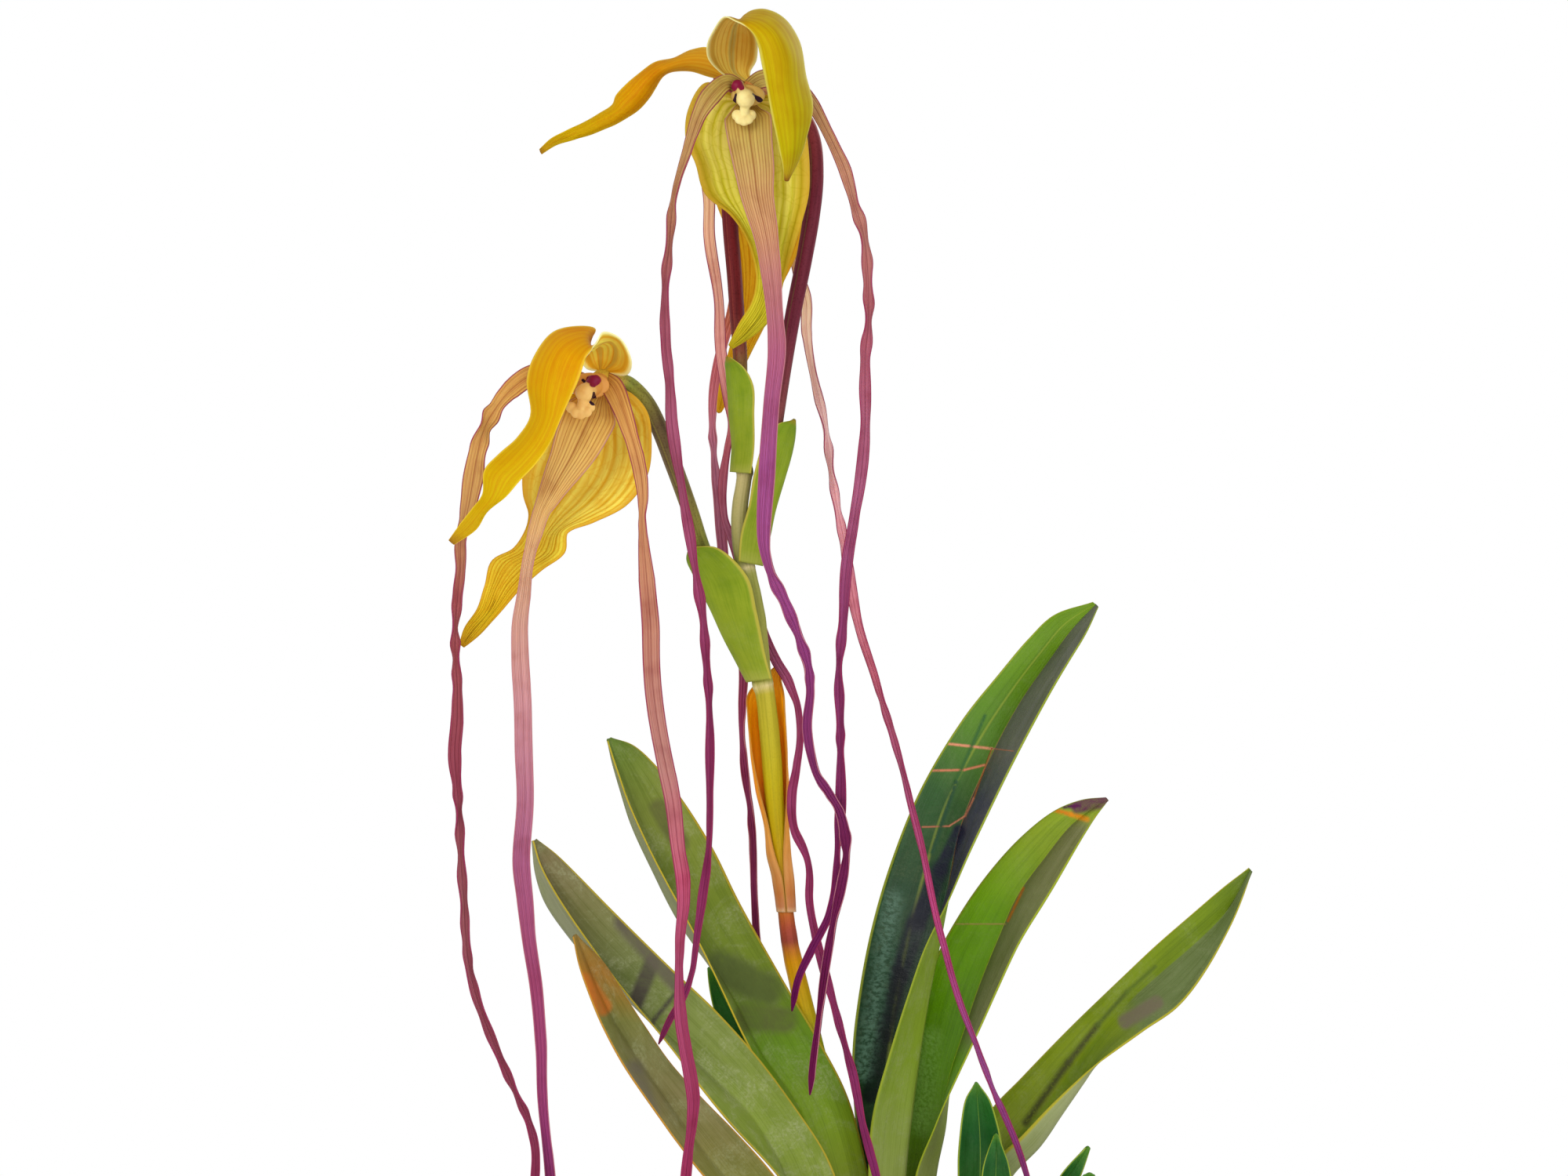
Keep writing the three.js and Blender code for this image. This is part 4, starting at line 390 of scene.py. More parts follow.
RIBBON_ROWS = {
    "top_petal_left": [
        (946, 113, -6, 5.5, 0), (928, 105, -12, 6.5, 0), (908, 121, -19, 7.6, 0),
        (893, 145, -23, 6, 10), (878, 190, -27, 4.8, 40), (861, 249, -31, 4, 59),
        (853, 310, -33, 4, -56), (849, 370, -34, 4, 56), (849, 440, -35, 4, -22),
        (855, 490, -36, 4, 27), (857, 540, -36, 4.5, 0), (870, 620, -37, 4.5, 50),
        (880, 680, -38, 4.5, 20), (888, 730, -39, 4.5, 60), (896, 790, -40, 4, -54),
        (902, 850, -42, 3.6, 48), (904, 900, -43, 3.6, -54), (906, 1000, -46, 3.6, 38),
        (905, 1080, -49, 4, 60), (897, 1140, -52, 3.8, 20), (890, 1190, -55, 3.6, 50),
        (883, 1240, -58, 3.4, 60), (873, 1270, -60, 3, 30), (855, 1300, -62, 2.6, 20),
        (840, 1332, -64, 1.6, 0),
    ],
    "top_petal_right": [
        (956, 110, -5, 5.5, 0), (972, 101, -11, 7, 0), (995, 101, -17, 7, 0), (1018, 112, -22, 6, 0),
        (1037, 134, -25, 5.2, 5), (1056, 169, -28, 4.5, 30), (1077, 214, -30, 5, 20),
        (1091, 260, -31, 5, 50), (1102, 305, -32, 4.5, -55), (1108, 360, -33, 4.5, 48),
        (1107, 410, -33, 4.5, -58), (1104, 460, -34, 4.5, 37), (1103, 540, -34, 4.5, -34),
        (1099, 600, -34, 4.5, 0), (1090, 660, -34, 4, 16), (1080, 720, -33, 4.5, 0),
        (1075, 790, -32, 4, -42), (1071, 850, -32, 4, 61), (1071, 920, -32, 3.8, -48),
        (1073, 960, -32, 3.6, 45), (1072, 1030, -32, 4.2, 0), (1069, 1080, -32, 3.4, 52),
        (1065, 1140, -32, 3.4, 0), (1056, 1172, -33, 3.4, 30), (1035, 1212, -34, 3.2, 20),
        (1018, 1250, -35, 3, 30), (1010, 1290, -36, 2, 0),
    ],
    "top_lip": [
        (954, 130, -7, 4.5, 0), (953, 142, -10.5, 12, 0), (954, 153, -12, 18, 0),
        (957, 180, -14, 17, 0), (962, 215, -17, 15.5, 0), (966, 250, -20, 12.6, 0),
        (977, 300, -23, 9.5, 0), (984, 350, -25, 7.8, 10), (989, 400, -27, 7, 25),
        (991, 450, -28, 7, 15), (984, 520, -30, 6.3, 13), (979, 600, -31, 7, 20),
        (975, 690, -33, 5.5, 30), (984, 730, -33, 5, 55), (999, 766, -34, 5, -38),
        (1019, 810, -35, 4.5, 46), (1030, 850, -35, 4.5, -48), (1034, 880, -36, 3.6, 29),
        (1030, 930, -36, 4, 20), (1042, 986, -37, 3.6, 34), (1057, 1012, -38, 3.6, -24),
        (1070, 1033, -39, 3.4, 0), (1077, 1060, -39, 4, 0), (1080, 1090, -39, 3.6, 50),
        (1073, 1130, -39, 3.9, 0), (1064, 1175, -40, 3.6, 50), (1054, 1230, -41, 3.6, 20),
        (1045, 1300, -42, 3.2, 50), (1038, 1350, -43, 3, 30), (1033, 1397, -43, 2.4, 0),
    ],
    "left_petal_left": [
        (755, 487, -41, 4, 0), (738, 482, -46, 5, 0), (708, 474, -52, 7, 0), (676, 480, -58, 8, 0),
        (651, 498, -61, 7.3, 0), (634, 519, -63, 7.2, 40), (618, 545, -65, 7.2, -54),
        (609, 580, -67, 7.2, 20), (604, 610, -68, 8, 10), (599, 640, -69, 7, 20),
        (594, 665, -70, 6, 40), (588, 692, -71, 5, 30), (587, 725, -72, 4, -32),
        (584, 760, -73, 4, 16), (580, 800, -74, 4, -71), (582, 840, -75, 4, 59),
        (583, 880, -76, 4, -35), (583, 920, -77, 4.8, 0), (580, 960, -78, 4.9, 0),
        (583, 1000, -79, 4, 35), (585, 1035, -80, 3.8, -64), (588, 1090, -80, 3.8, 56),
        (591, 1150, -81, 3.6, -48), (595, 1200, -81, 3.6, 38), (599, 1240, -82, 3.6, -45),
        (615, 1292, -83, 3.6, 38), (637, 1349, -85, 3.4, -49), (658, 1393, -87, 3.4, 55),
        (674, 1431, -88, 3.2, -42), (683, 1465, -88, 3.2, 14), (683, 1500, -88, 3.6, 20),
        (676, 1560, -88, 3.4, 50), (671, 1640, -88, 3.2, 20), (674, 1720, -88, 3, 50),
        (681, 1775, -88, 2.6, 20), (683, 1812, -88, 1.6, 0),
    ],
    "left_petal_right": [
        (771, 483, -44, 6, 0), (782, 495, -50, 8.4, 0), (793, 520, -55, 7.2, 0),
        (803, 550, -60, 5.8, 0), (812, 580, -63, 5.5, 10), (818, 607, -65, 5.5, 20),
        (820, 633, -67, 4, 0), (820, 660, -68, 3.6, 41), (821, 690, -70, 4, 16),
        (825, 740, -72, 6.1, 0), (830, 800, -74, 6.6, 0), (831, 850, -76, 6.4, 0),
        (837, 911, -78, 6.3, 0), (850, 980, -80, 6.3, 10), (858, 1020, -82, 6, 0),
        (865, 1080, -83, 5.4, 10), (871, 1120, -84, 5.4, 0), (872, 1150, -85, 4.8, 10),
        (868, 1200, -86, 4.5, 40), (867, 1240, -87, 4.5, 50), (868, 1290, -88, 4.8, 20),
        (874, 1335, -89, 4.8, 10), (881, 1375, -90, 5, 0), (885, 1410, -90, 4.8, 20),
        (881, 1450, -90, 4.4, 40), (875, 1500, -90, 4, 10), (870, 1560, -91, 3.8, 30),
        (868, 1640, -91.5, 3.6, 0), (872, 1720, -91.5, 3.2, 30), (880, 1790, -91.5, 2.8, 10),
        (884, 1840, -91.5, 1.8, 0),
    ],
    "left_lip": [
        (767, 499, -44, 4.5, 0), (761, 513, -48, 12, 0), (752, 532, -53, 20, 0), (741, 556, -55, 19, 0),
        (728, 583, -57, 16, 0), (714, 608, -60, 12.5, 0), (701, 632, -63, 9, 0),
        (691, 652, -65, 6.5, 0), (682, 682, -68, 5.5, 0), (674, 715, -71, 4.5, 10),
        (668, 760, -73, 5.2, 0), (663, 800, -75, 6, 0), (664, 850, -76, 6.6, 0),
        (667, 900, -77, 6.6, 0), (668, 960, -78, 6.6, 0), (670, 1020, -79, 6.4, 0),
        (665, 1100, -80, 6.6, 0), (670, 1150, -80, 6.1, 0), (675, 1200, -81, 5.2, 0),
        (684, 1260, -81, 4.8, 0), (690, 1330, -82, 4.3, 0), (692, 1400, -82, 3.8, 7),
        (698, 1460, -82, 3.8, 18), (702, 1500, -82, 4, 10), (704, 1560, -82, 3.8, 30),
        (702, 1640, -82, 3.6, 0), (706, 1720, -82, 3.2, 30), (714, 1790, -82, 2.8, 10),
        (722, 1850, -82, 1.8, 0),
    ],
    "back_petal_left": [
        (918, 108, 46, 4.5, 0), (905, 118, 44, 5, 0), (896, 160, 40, 5, 0), (899, 210, 36, 5, 0),
        (905, 255, 33, 4.8, 20), (905, 300, 30, 4.8, 20), (916, 380, 27, 4, -22),
        (920, 450, 24, 4.5, 20), (929, 505, 22, 4.5, 0), (935, 540, 21, 4.2, 30), (928, 575, 20, 4, 50),
        (922, 620, 19, 4, 30), (925, 660, 18, 3.8, 50), (935, 690, 18, 3.8, 20), (946, 725, 18, 3.8, 0),
        (960, 765, 16, 3.8, 0), (974, 808, 14, 3.8, 0), (990, 843, 9, 3.8, 0), (1005, 868, 3, 3.8, 0),
        (1017, 900, -1, 3.2, 46), (1021, 940, -4, 3.6, 50), (1016, 980, -9, 3.2, 28),
        (1010, 1015, -13, 3.6, 0), (1013, 1055, -16, 3.6, 30), (1030, 1099, -18, 3.2, -53),
        (1033, 1150, -19, 3.2, 22), (1040, 1190, -20, 3.6, 30), (1052, 1240, -22, 3.6, 0),
        (1063, 1281, -24, 3.2, -34), (1077, 1330, -26, 3.1, 47), (1088, 1370, -28, 3.4, 10),
        (1100, 1430, -30, 3.4, 40), (1110, 1470, -31, 3.4, 10), (1118, 1500, -32, 3.2, 20),
        (1128, 1552, -33, 1.8, 0),
    ],
    "back_petal_right": [
        (942, 110, 48, 4.5, 0), (965, 112, 54, 5, 0), (985, 130, 57, 5, 0), (998, 170, 59, 5, 0),
        (1004, 230, 59, 5, 0), (1010, 300, 56, 4.5, 0), (1019, 350, 52, 4.5, 20),
        (1028, 385, 47, 4.5, 0), (1029, 426, 41, 4, 0), (1039, 481, 34, 3.8, 44),
        (1053, 550, 26, 3.8, -59), (1061, 600, 20, 3.6, 60), (1068, 650, 15, 3.6, -48),
        (1077, 690, 11, 4, 30), (1085, 745, 6, 4.3, 0), (1096, 800, 1, 3.6, 29),
        (1115, 860, -4, 2.9, 0), (1124, 890, -7, 3, 50), (1136, 930, -9, 2.8, -23),
        (1151, 980, -12, 2.8, 45), (1163, 1030, -15, 2.6, 10), (1178, 1090, -18, 2.8, 35),
        (1190, 1150, -22, 2.5, 10), (1205, 1210, -26, 2.8, 35), (1225, 1280, -28, 2.4, 10),
        (1248, 1339, -30, 2.5, 49), (1266, 1389, -31, 2.3, -55), (1285, 1430, -32, 2.6, 30),
        (1297, 1460, -32, 2.4, 10), (1310, 1500, -33, 2.2, 20), (1320, 1540, -33, 1.6, 0),
    ],
    "back_lip": [
        (931, 119.5, 50, 4.5, 0), (934, 138, 55, 8, 0), (943, 200, 57, 9, 0), (948, 250, 56, 8, 0),
        (947, 300, 55, 6, 0), (942, 350, 53, 5, 0), (934, 400, 51, 4.5, 10), (922, 440, 49, 4.2, 20),
        (912, 490, 46, 4.2, 0), (909, 540, 42, 3.6, 45), (910, 580, 38, 3.6, -57),
        (916, 630, 32, 4, 10), (921, 690, 27, 4.2, 0), (925, 730, 23, 3.8, 0), (938, 790, 19, 3.8, 20),
        (948, 850, 15, 3.6, 0), (947, 900, 14, 3.2, 14), (947, 940, 14, 3.2, 59),
        (950, 980, 14, 3.4, 20), (957, 1030, 14, 3.1, 50), (960, 1080, 14, 3.1, -34),
        (962, 1130, 15, 2.9, 20), (965, 1190, 18, 3, 20), (969, 1240, 21, 2.8, 40),
        (973, 1290, 23, 2.4, 10), (975, 1330, 24, 1.6, 0),
    ],
}
# Sizes in millimetres
THICKNESS = {"leaf": 1.3, "young": 1.1, "bract": 0.8, "sepal": 0.9, "ribbon": 0.8}
KNOB_RADIUS = 4.5
HEAD_RADIUS = 3.6
CREST_RADIUS = 2.6
NUB_SIZE = (1.8, 2.0, 1.8)
LOBE_SIZE = (2.2, 1.6, 2.2)
COLUMN_STEM = (3.8, 3.0)
CREST_NECK = (2.2, 2.6)
LOBE_NECK = (2.1, 1.7)
COLUMN_VOXEL = 0.28
STAIN_BLUR = 0.6
STAIN_AHEAD = 3
RIBBON_CUP = 0.12
RIBBON_TIP_WIDTH = 0.5
POT_HEIGHT = 130
POT_RIM_RADIUS = 75
POT_BASE_RADIUS = 50
POT_WALL = 6
RIM_BAND_HEIGHT = 28
RIM_BAND_STEP = 3.5
DRAIN_RADIUS = 6
DRAIN_CIRCLE = 28
DRAIN_COUNT = 4
MIX_SURFACE = 119

# Faces across and along each kind of blade and round stem
GRIDS = {
    "leaf": (28, 130), "young": (18, 70), "bract": (28, 70), "sheath": (56, 120), "sepal": (44, 120),
    "petal": (12, 300), "lip": (16, 300), "scape": (40, 420), "pedicel": (36, 240),
}

# Bark chips: seed of the draws, range of each side as a share of the usual length, tilt in radians
BARK_SEED = 11
CHIP_SIDES = ((0.55, 1.3), (0.4, 0.9), (0.2, 0.5))
CHIP_TILT = 0.55

# The studio, in metres: (name, place, width, share of the key power, colour) of each softbox
FLOOR_RADIUS = 3
LIGHT_AIM = (-0.03, 0, 0.36)
SOFTBOXES = (
    ("key_softbox", (-1.1, -2.0, 1.3), 1.2, 1.0, (1, 0.98, 0.95)),
    ("front_softbox", (0.35, -2.6, 0.25), 1.5, 0.6, (1, 0.99, 0.97)),
    ("fill_softbox", (1.6, -1.4, 0.8), 1.2, 0.3, (0.96, 0.98, 1)),
    ("rim_softbox", (0.9, 1.6, 1.3), 0.9, 0.25, (1, 1, 1)),
)
LENS = 144
SENSOR_WIDTH = 36


def linear(code):
    """A colour written as six hex digits, as the shader reads it."""
    parts = [int(code[k:k + 2], 16) / 255 for k in (0, 2, 4)]
    return tuple(p / 12.92 if p <= 0.04045 else ((p + 0.055) / 1.055) ** 2.4 for p in parts)


def at(px, py, depth):
    scale = MM_PER_PIXEL * (VIEW_DISTANCE + depth) / VIEW_DISTANCE
    return Vector((
        VIEW_AXIS[0] + (px - PICTURE_CENTRE[0]) * scale,
        depth,
        VIEW_AXIS[1] - (py - PICTURE_CENTRE[1]) * scale,
    ))


class Rail:
    """A smooth curve through its points: 0 is the first and 1 the last."""

    def __init__(self, points):
        points = [Vector(p) for p in points]
        first, last = 2 * points[0] - points[1], 2 * points[-1] - points[-2]
        self.points = [first, *points, last]
        self.spans = len(points) - 1

    def at(self, share):
        place = min(max(share, 0), 1) * self.spans
        k = min(int(place), self.spans - 1)
        t = place - k
        a, b, c, d = self.points[k:k + 4]
        here = (c - b).length ** 0.5
        here = 1 if here < 1e-4 else here
        before, after = (
            here if span < 1e-4 else span for span in ((b - a).length ** 0.5, (d - c).length ** 0.5))
        leave = ((b - a) / before - (c - a) / (before + here) + (c - b) / here) * here
        arrive = ((c - b) / here - (d - b) / (here + after) + (d - c) / after) * here
        bend = 3 * (c - b) - 2 * leave - arrive
        return b + leave * t + bend * t * t + (2 * (b - c) + leave + arrive) * t ** 3

    def direction(self, share):
        return (self.at(share + 2e-4) - self.at(share - 2e-4)).normalized()


def rail_section(rows, keeled):
    """The cross-section at a share of the length: a smooth bow, or a fold at the keel."""
    left, middle, right, *belly = (Rail([at(*row[k]) for row in rows]) for k in range(len(rows[0])))

    def section(share):
        m = middle.at(share)
        l, r = left.at(share) - m, right.at(share) - m
        if keeled:
            bulge = belly[0].at(share) - m - l / 2 if belly else Vector()
            return lambda side: (
                m + (l if side < 0 else r) * abs(side) + bulge * max(0, -4 * side * (1 + side)))
        return lambda side: m + l * ((side ** 2 - side) / 2) + r * ((side ** 2 + side) / 2)
    return section


def ribbon_section(rows):
    track = Rail([at(*row[:3]) for row in rows])
    shape = Rail([(row[3], row[4], 0) for row in rows])

    def section(share):
        centre, tangent, (width, turn, _) = track.at(share), track.direction(share), shape.at(share)
        across = tangent.cross(SIGHT).normalized()
        across.rotate(Quaternion(tangent, math.radians(turn)))
        outward = tangent.cross(across)
        half = max(width * min(1, 60 * (1 - share)) ** 0.5, RIBBON_TIP_WIDTH) / 2
        return lambda side: centre + across * side * half + outward * RIBBON_CUP * side ** 2 * half
    return section


def sheath_section(rows):
    track = Rail([at(*row[:3]) for row in rows])
    angles = Rail([(row[3], row[4], 0) for row in rows])
    radii = Rail([(row[5], row[6], 0) for row in rows])

    def section(share):
        centre, (first, last, _), (right, left, _) = track.at(share), angles.at(share), radii.at(share)

        def spot(side):
            angle = math.radians(first + (last - first) * (side + 1) / 2)
            radius = right + (left - right) * (1 - math.cos(angle)) / 2
            return centre + Vector((radius * math.cos(angle), radius * math.sin(angle), 0))
        return spot
    return section


def share_at(rows, py):
    """The share of a track's length where it first passes a height of the picture."""
    heights = [row[1][1] if isinstance(row[0], tuple) else row[1] for row in rows]
    for k, (a, b) in enumerate(zip(heights, heights[1:])):
        if a != b and min(a, b) <= py <= max(a, b):
            return (k + (py - a) / (b - a)) / (len(rows) - 1)
    return 0 if abs(py - heights[0]) < abs(py - heights[-1]) else 1


# Meshes

def show(name, node, bm, paints, smooth=True):
    """Makes the piece that stands for a node of the same name."""
    mesh = bpy.data.meshes.new(name)
    bm.to_mesh(mesh)
    bm.free()
    for paint in paints:
        mesh.materials.append(paint)
    if smooth:
        mesh.shade_smooth()
    piece = bpy.data.objects.new(name, mesh)
    bpy.context.collection.objects.link(piece)
    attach(piece, "root")
    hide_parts(node)
    return piece


def blade(node, section, grid, thickness, paints, relief=None, margin=0.35):
    """A closed blade: a grid bent onto the sections, raised by its relief and thickened."""
    bm = bmesh.new()
    bm.loops.layers.uv.new(BLADE_UV)
    body = bm.verts.layers.deform.verify()
    bmesh.ops.create_grid(bm, x_segments=grid[0], y_segments=grid[1], size=1, calc_uvs=True)
    spots = [(vert, vert.co.x, (vert.co.y + 1) / 2) for vert in bm.verts]
    sections = {}
    for vert, side, share in spots:
        key = round(share, 6)
        if key not in sections:
            sections[key] = section(share)
        vert.co = sections[key](side) * MM
        vert[body][0] = 1 - abs(side) ** 5
    if relief:
        bm.normal_update()
        for vert, side, share in spots:
            vert.co += vert.normal * relief(side, share) * MM
    piece = show(f"{node}_fine", node, bm, paints)
    piece.vertex_groups.new(name="body")
    solid = piece.modifiers.new("thickness", "SOLIDIFY")
    solid.thickness = thickness * MM
    solid.offset = 0
    solid.vertex_group = "body"
    solid.thickness_vertex_group = margin
    if len(paints) > 1:
        solid.material_offset = 1
    return piece


def tube(bm, rows, grid, relief=None):
    """A closed round stem along its track, with the radius of each row."""
    track = Rail([at(*row[:3]) for row in rows])
    radii = Rail([(row[3], 0, 0) for row in rows])
    made = bmesh.ops.create_grid(
        bm, x_segments=grid[0], y_segments=grid[1], size=1, calc_uvs=True)["verts"]
    for vert in made:
        angle, share = vert.co.x * math.pi, (vert.co.y + 1) / 2
        tangent = track.direction(share)
        right = tangent.cross(SIGHT).normalized()
        back = right.cross(tangent)
        radius = radii.at(share).x + (relief(angle, share) if relief else 0)
        place = track.at(share) + (right * math.cos(angle) + back * math.sin(angle)) * radius
        vert.co = place * MM
    bmesh.ops.remove_doubles(bm, verts=made, dist=1e-7)
    rim = [edge for edge in bm.edges if edge.is_boundary]
    bmesh.ops.holes_fill(bm, edges=rim, sides=grid[0] + 1)


def ball(bm, centre, size):
    """A round or oval body about a place in millimetres."""
    made = bmesh.ops.create_icosphere(bm, subdivisions=3, radius=1, calc_uvs=True)["verts"]
    matrix = Matrix.Translation(centre * MM) @ Matrix.Diagonal((*(side * MM for side in size), 1))
    bmesh.ops.transform(bm, matrix=matrix, verts=made)
    return made


def rod(bm, start, end, radii):
    """A capped round rod between two places in millimetres."""
    line = end - start
    turn = line.to_track_quat("Z", "Y").to_matrix().to_4x4()
    matrix = Matrix.Translation((start + end) / 2 * MM) @ turn
    bmesh.ops.create_cone(
        bm, cap_ends=True, segments=20, radius1=radii[0] * MM, radius2=radii[1] * MM,
        depth=line.length * MM, matrix=matrix)


def settle(piece):
    """Writes a piece's modifiers into its mesh."""
    graph = bpy.context.evaluated_depsgraph_get()
    old = piece.data
    piece.data = bpy.data.meshes.new_from_object(piece.evaluated_get(graph))
    piece.modifiers.clear()
    bpy.data.meshes.remove(old)


# Finishes

class Paint:
    """One finish, built from nodes round a single shader."""

    def __init__(self, name, sockets):
        self.material = bpy.data.materials.new(name)
        self.material.use_nodes = True
        self.tree = self.material.node_tree
        self.shader = self.tree.nodes["Principled BSDF"]
        for socket, value in sockets.items():
            self.shader.inputs[socket].default_value = value
        self.normal = None

    def node(self, kind, inputs, output=0, **settings):
        node = self.tree.nodes.new(kind)
        for key, value in settings.items():
            setattr(node, key, value)
        for key, value in inputs.items():
            if isinstance(value, bpy.types.NodeSocket):
                self.tree.links.new(value, node.inputs[key])
            elif value is not None:
                node.inputs[key].default_value = value
        return node.outputs[output]

    def math(self, operation, *values, clamp=False):
        return self.node(
            "ShaderNodeMath", dict(enumerate(values)), operation=operation, use_clamp=clamp)

    def object_place(self):
        return self.node("ShaderNodeTexCoord", {}, "Object")

    def blade_place(self):
        """(side to side from 0 to 1, base to tip from 0 to 1) and the share out from the middle."""
        place = self.node("ShaderNodeUVMap", {}, uv_map=BLADE_UV)
        side = self.node("ShaderNodeSeparateXYZ", {0: place}, 0)
        share = self.node("ShaderNodeSeparateXYZ", {0: place}, 1)
        out = self.math("ABSOLUTE", self.math("MULTIPLY_ADD", side, 2, -1))
        return place, side, share, out

    def stretched(self, place, scale, shift=(0, 0, 0)):
        return self.node("ShaderNodeMapping", {0: place, "Scale": scale, "Location": shift})

    def noise(self, place, scale, detail=2.0, roughness=0.5, distortion=0.0):
        return self.node("ShaderNodeTexNoise", {
            "Vector": place, "Scale": scale, "Detail": detail, "Roughness": roughness,
            "Distortion": distortion})

    def cells(self, place, scale, feature="F1"):
        return self.node("ShaderNodeTexVoronoi", {"Vector": place, "Scale": scale}, 0, feature=feature)

    def remap(self, value, low, high, to_low=0.0, to_high=1.0):
        return self.node("ShaderNodeMapRange", {
            0: value, 1: low, 2: high, 3: to_low, 4: to_high}, interpolation_type="SMOOTHSTEP")

    def ramp(self, value, stops, curve="LINEAR"):
        node = self.tree.nodes.new("ShaderNodeValToRGB")
        node.color_ramp.interpolation = curve
        elements = node.color_ramp.elements
        for k, (place, colour) in enumerate(sorted(stops, key=lambda stop: stop[0])):
            element = elements[k] if k < 2 else elements.new(place)
            element.position = place
            element.color = (*(linear(colour) if isinstance(colour, str) else colour), 1)
        self.tree.links.new(value, node.inputs[0])
        return node.outputs[0]

    def peaks(self, value, peaks):
        """Bright soft lines at (place, half width, height) along a value."""
        stops = {}
        for place, half, height in peaks:
            for x, y in ((place - half, 0), (place, height), (place + half, 0)):
                if 0 <= x <= 1:
                    stops[x] = (y, y, y)
        stops.setdefault(0.0, (0, 0, 0))
        stops.setdefault(1.0, (0, 0, 0))
        return self.ramp(value, list(stops.items()))

    def mix(self, factor, a, b, blend="MIX"):
        a, b = ((*linear(c), 1) if isinstance(c, str) else c for c in (a, b))
        return self.node(
            "ShaderNodeMix", {0: factor, 6: a, 7: b}, 2, data_type="RGBA", blend_type=blend)

    def line(self, place, start, end, half, core=0.0):
        """A soft mask along a line of the picture, whatever the depth; full within its core."""
        (x0, _, z0), (x1, _, z1) = (at(*p, 0) * MM for p in (start, end))
        reach = Vector((x1 - x0, 0, z1 - z0))
        flat = self.node("ShaderNodeVectorMath", {0: place, 1: (1, 0, 1)}, operation="MULTIPLY")
        off = self.node("ShaderNodeVectorMath", {0: flat, 1: (x0, 0, z0)}, operation="SUBTRACT")
        dot = self.node("ShaderNodeVectorMath", {0: off, 1: reach / reach.length_squared}, 1,
                        operation="DOT_PRODUCT")
        share = self.math("MULTIPLY", dot, 1.0, clamp=True)
        near = self.node("ShaderNodeVectorMath", {0: tuple(reach), 3: share}, operation="SCALE")
        gap = self.node("ShaderNodeVectorMath", {0: off, 1: near}, 1, operation="DISTANCE")
        return self.remap(gap, core * half * MM, half * MM, 1, 0)

    def raise_(self, height, distance, strength=1.0):
        inputs = {"Height": height, "Distance": distance * MM, "Strength": strength}
        if self.normal:
            inputs["Normal"] = self.normal
        self.normal = self.node("ShaderNodeBump", inputs)

    def done(self, colour, roughness=None):
        self.tree.links.new(colour, self.shader.inputs["Base Color"])
        if roughness:
            self.tree.links.new(roughness, self.shader.inputs["Roughness"])
        if self.normal:
            self.tree.links.new(self.normal, self.shader.inputs["Normal"])
        return self.material


def tinted(paint, colour, mask, tint):
    """Multiplies a colour by a tint where the mask is bright."""
    return paint.mix(mask, colour, tint, "MULTIPLY")


def petal_paint(name, along, rim, veins, vein, streaks=24, streak_depth=0.5, net=0.0,
                rim_from=0.8, bands=()):
    """Thin living tissue: a colour along the blade, its rim, veins, fine streaks and cells."""
    paint = Paint(name, {
        "Specular IOR Level": 0.04, "Subsurface Weight": 0.25,
        "Subsurface Radius": (1.0, 0.6, 0.3), "Subsurface Scale": 0.002})
    place, _, share, out = paint.blade_place()
    spot = paint.object_place()
    stray = paint.noise(paint.stretched(place, (3, 9, 1)), 1.0)
    wobble = paint.math("MULTIPLY_ADD", stray, 0.07, -0.035)
    strayed = paint.math("ABSOLUTE", paint.math("ADD", out, wobble))
    colour = paint.ramp(share, along)
    for low, high, until, band in bands:
        across = paint.math("MULTIPLY", paint.remap(strayed, low - 0.07, low + 0.05),
                            paint.remap(strayed, high - 0.05, high + 0.07, 1, 0))
        across = paint.math("MULTIPLY", across, paint.remap(share, until - 0.08, until, 0.85, 0))
        colour = paint.mix(across, colour, band)
    cloud = paint.noise(spot, 90.0, 3.0)
    colour = tinted(paint, colour, paint.remap(cloud, 0.45, 0.8, 0, 0.4), vein)
    mask = paint.peaks(strayed, veins)
    fade = paint.remap(paint.noise(paint.stretched(place, (6, 5, 1)), 1.0), 0.25, 0.6, 0.45, 1.0)
    mask = paint.math("MULTIPLY", mask, fade)
    colour = tinted(paint, colour, mask, vein)
    fine = paint.noise(paint.stretched(place, (streaks, 2.2, 1)), 1.0, 3.0, 0.65)
    streak = paint.math("MULTIPLY", paint.remap(fine, 0.46, 0.66, 0, streak_depth),
                        paint.remap(share, 0.78, 0.96, 1, 0.1))
    colour = tinted(paint, colour, streak, vein)
    if net:
        mesh = paint.cells(paint.stretched(place, (9, 26, 1)), 1.0, "DISTANCE_TO_EDGE")
        colour = tinted(paint, colour, paint.remap(mesh, 0.0, 0.07, net, 0.0), vein)
    colour = paint.mix(paint.remap(out, rim_from, 1.0, 0, 0.85), colour, rim)
    cell = paint.cells(spot, 2400.0)
    paint.raise_(mask, -0.35, 0.6)
    paint.raise_(fine, 0.14, 0.5)
    paint.raise_(cell, 0.05, 0.35)
    return paint.done(colour, paint.remap(cloud, 0.2, 0.8, 0.46, 0.6))


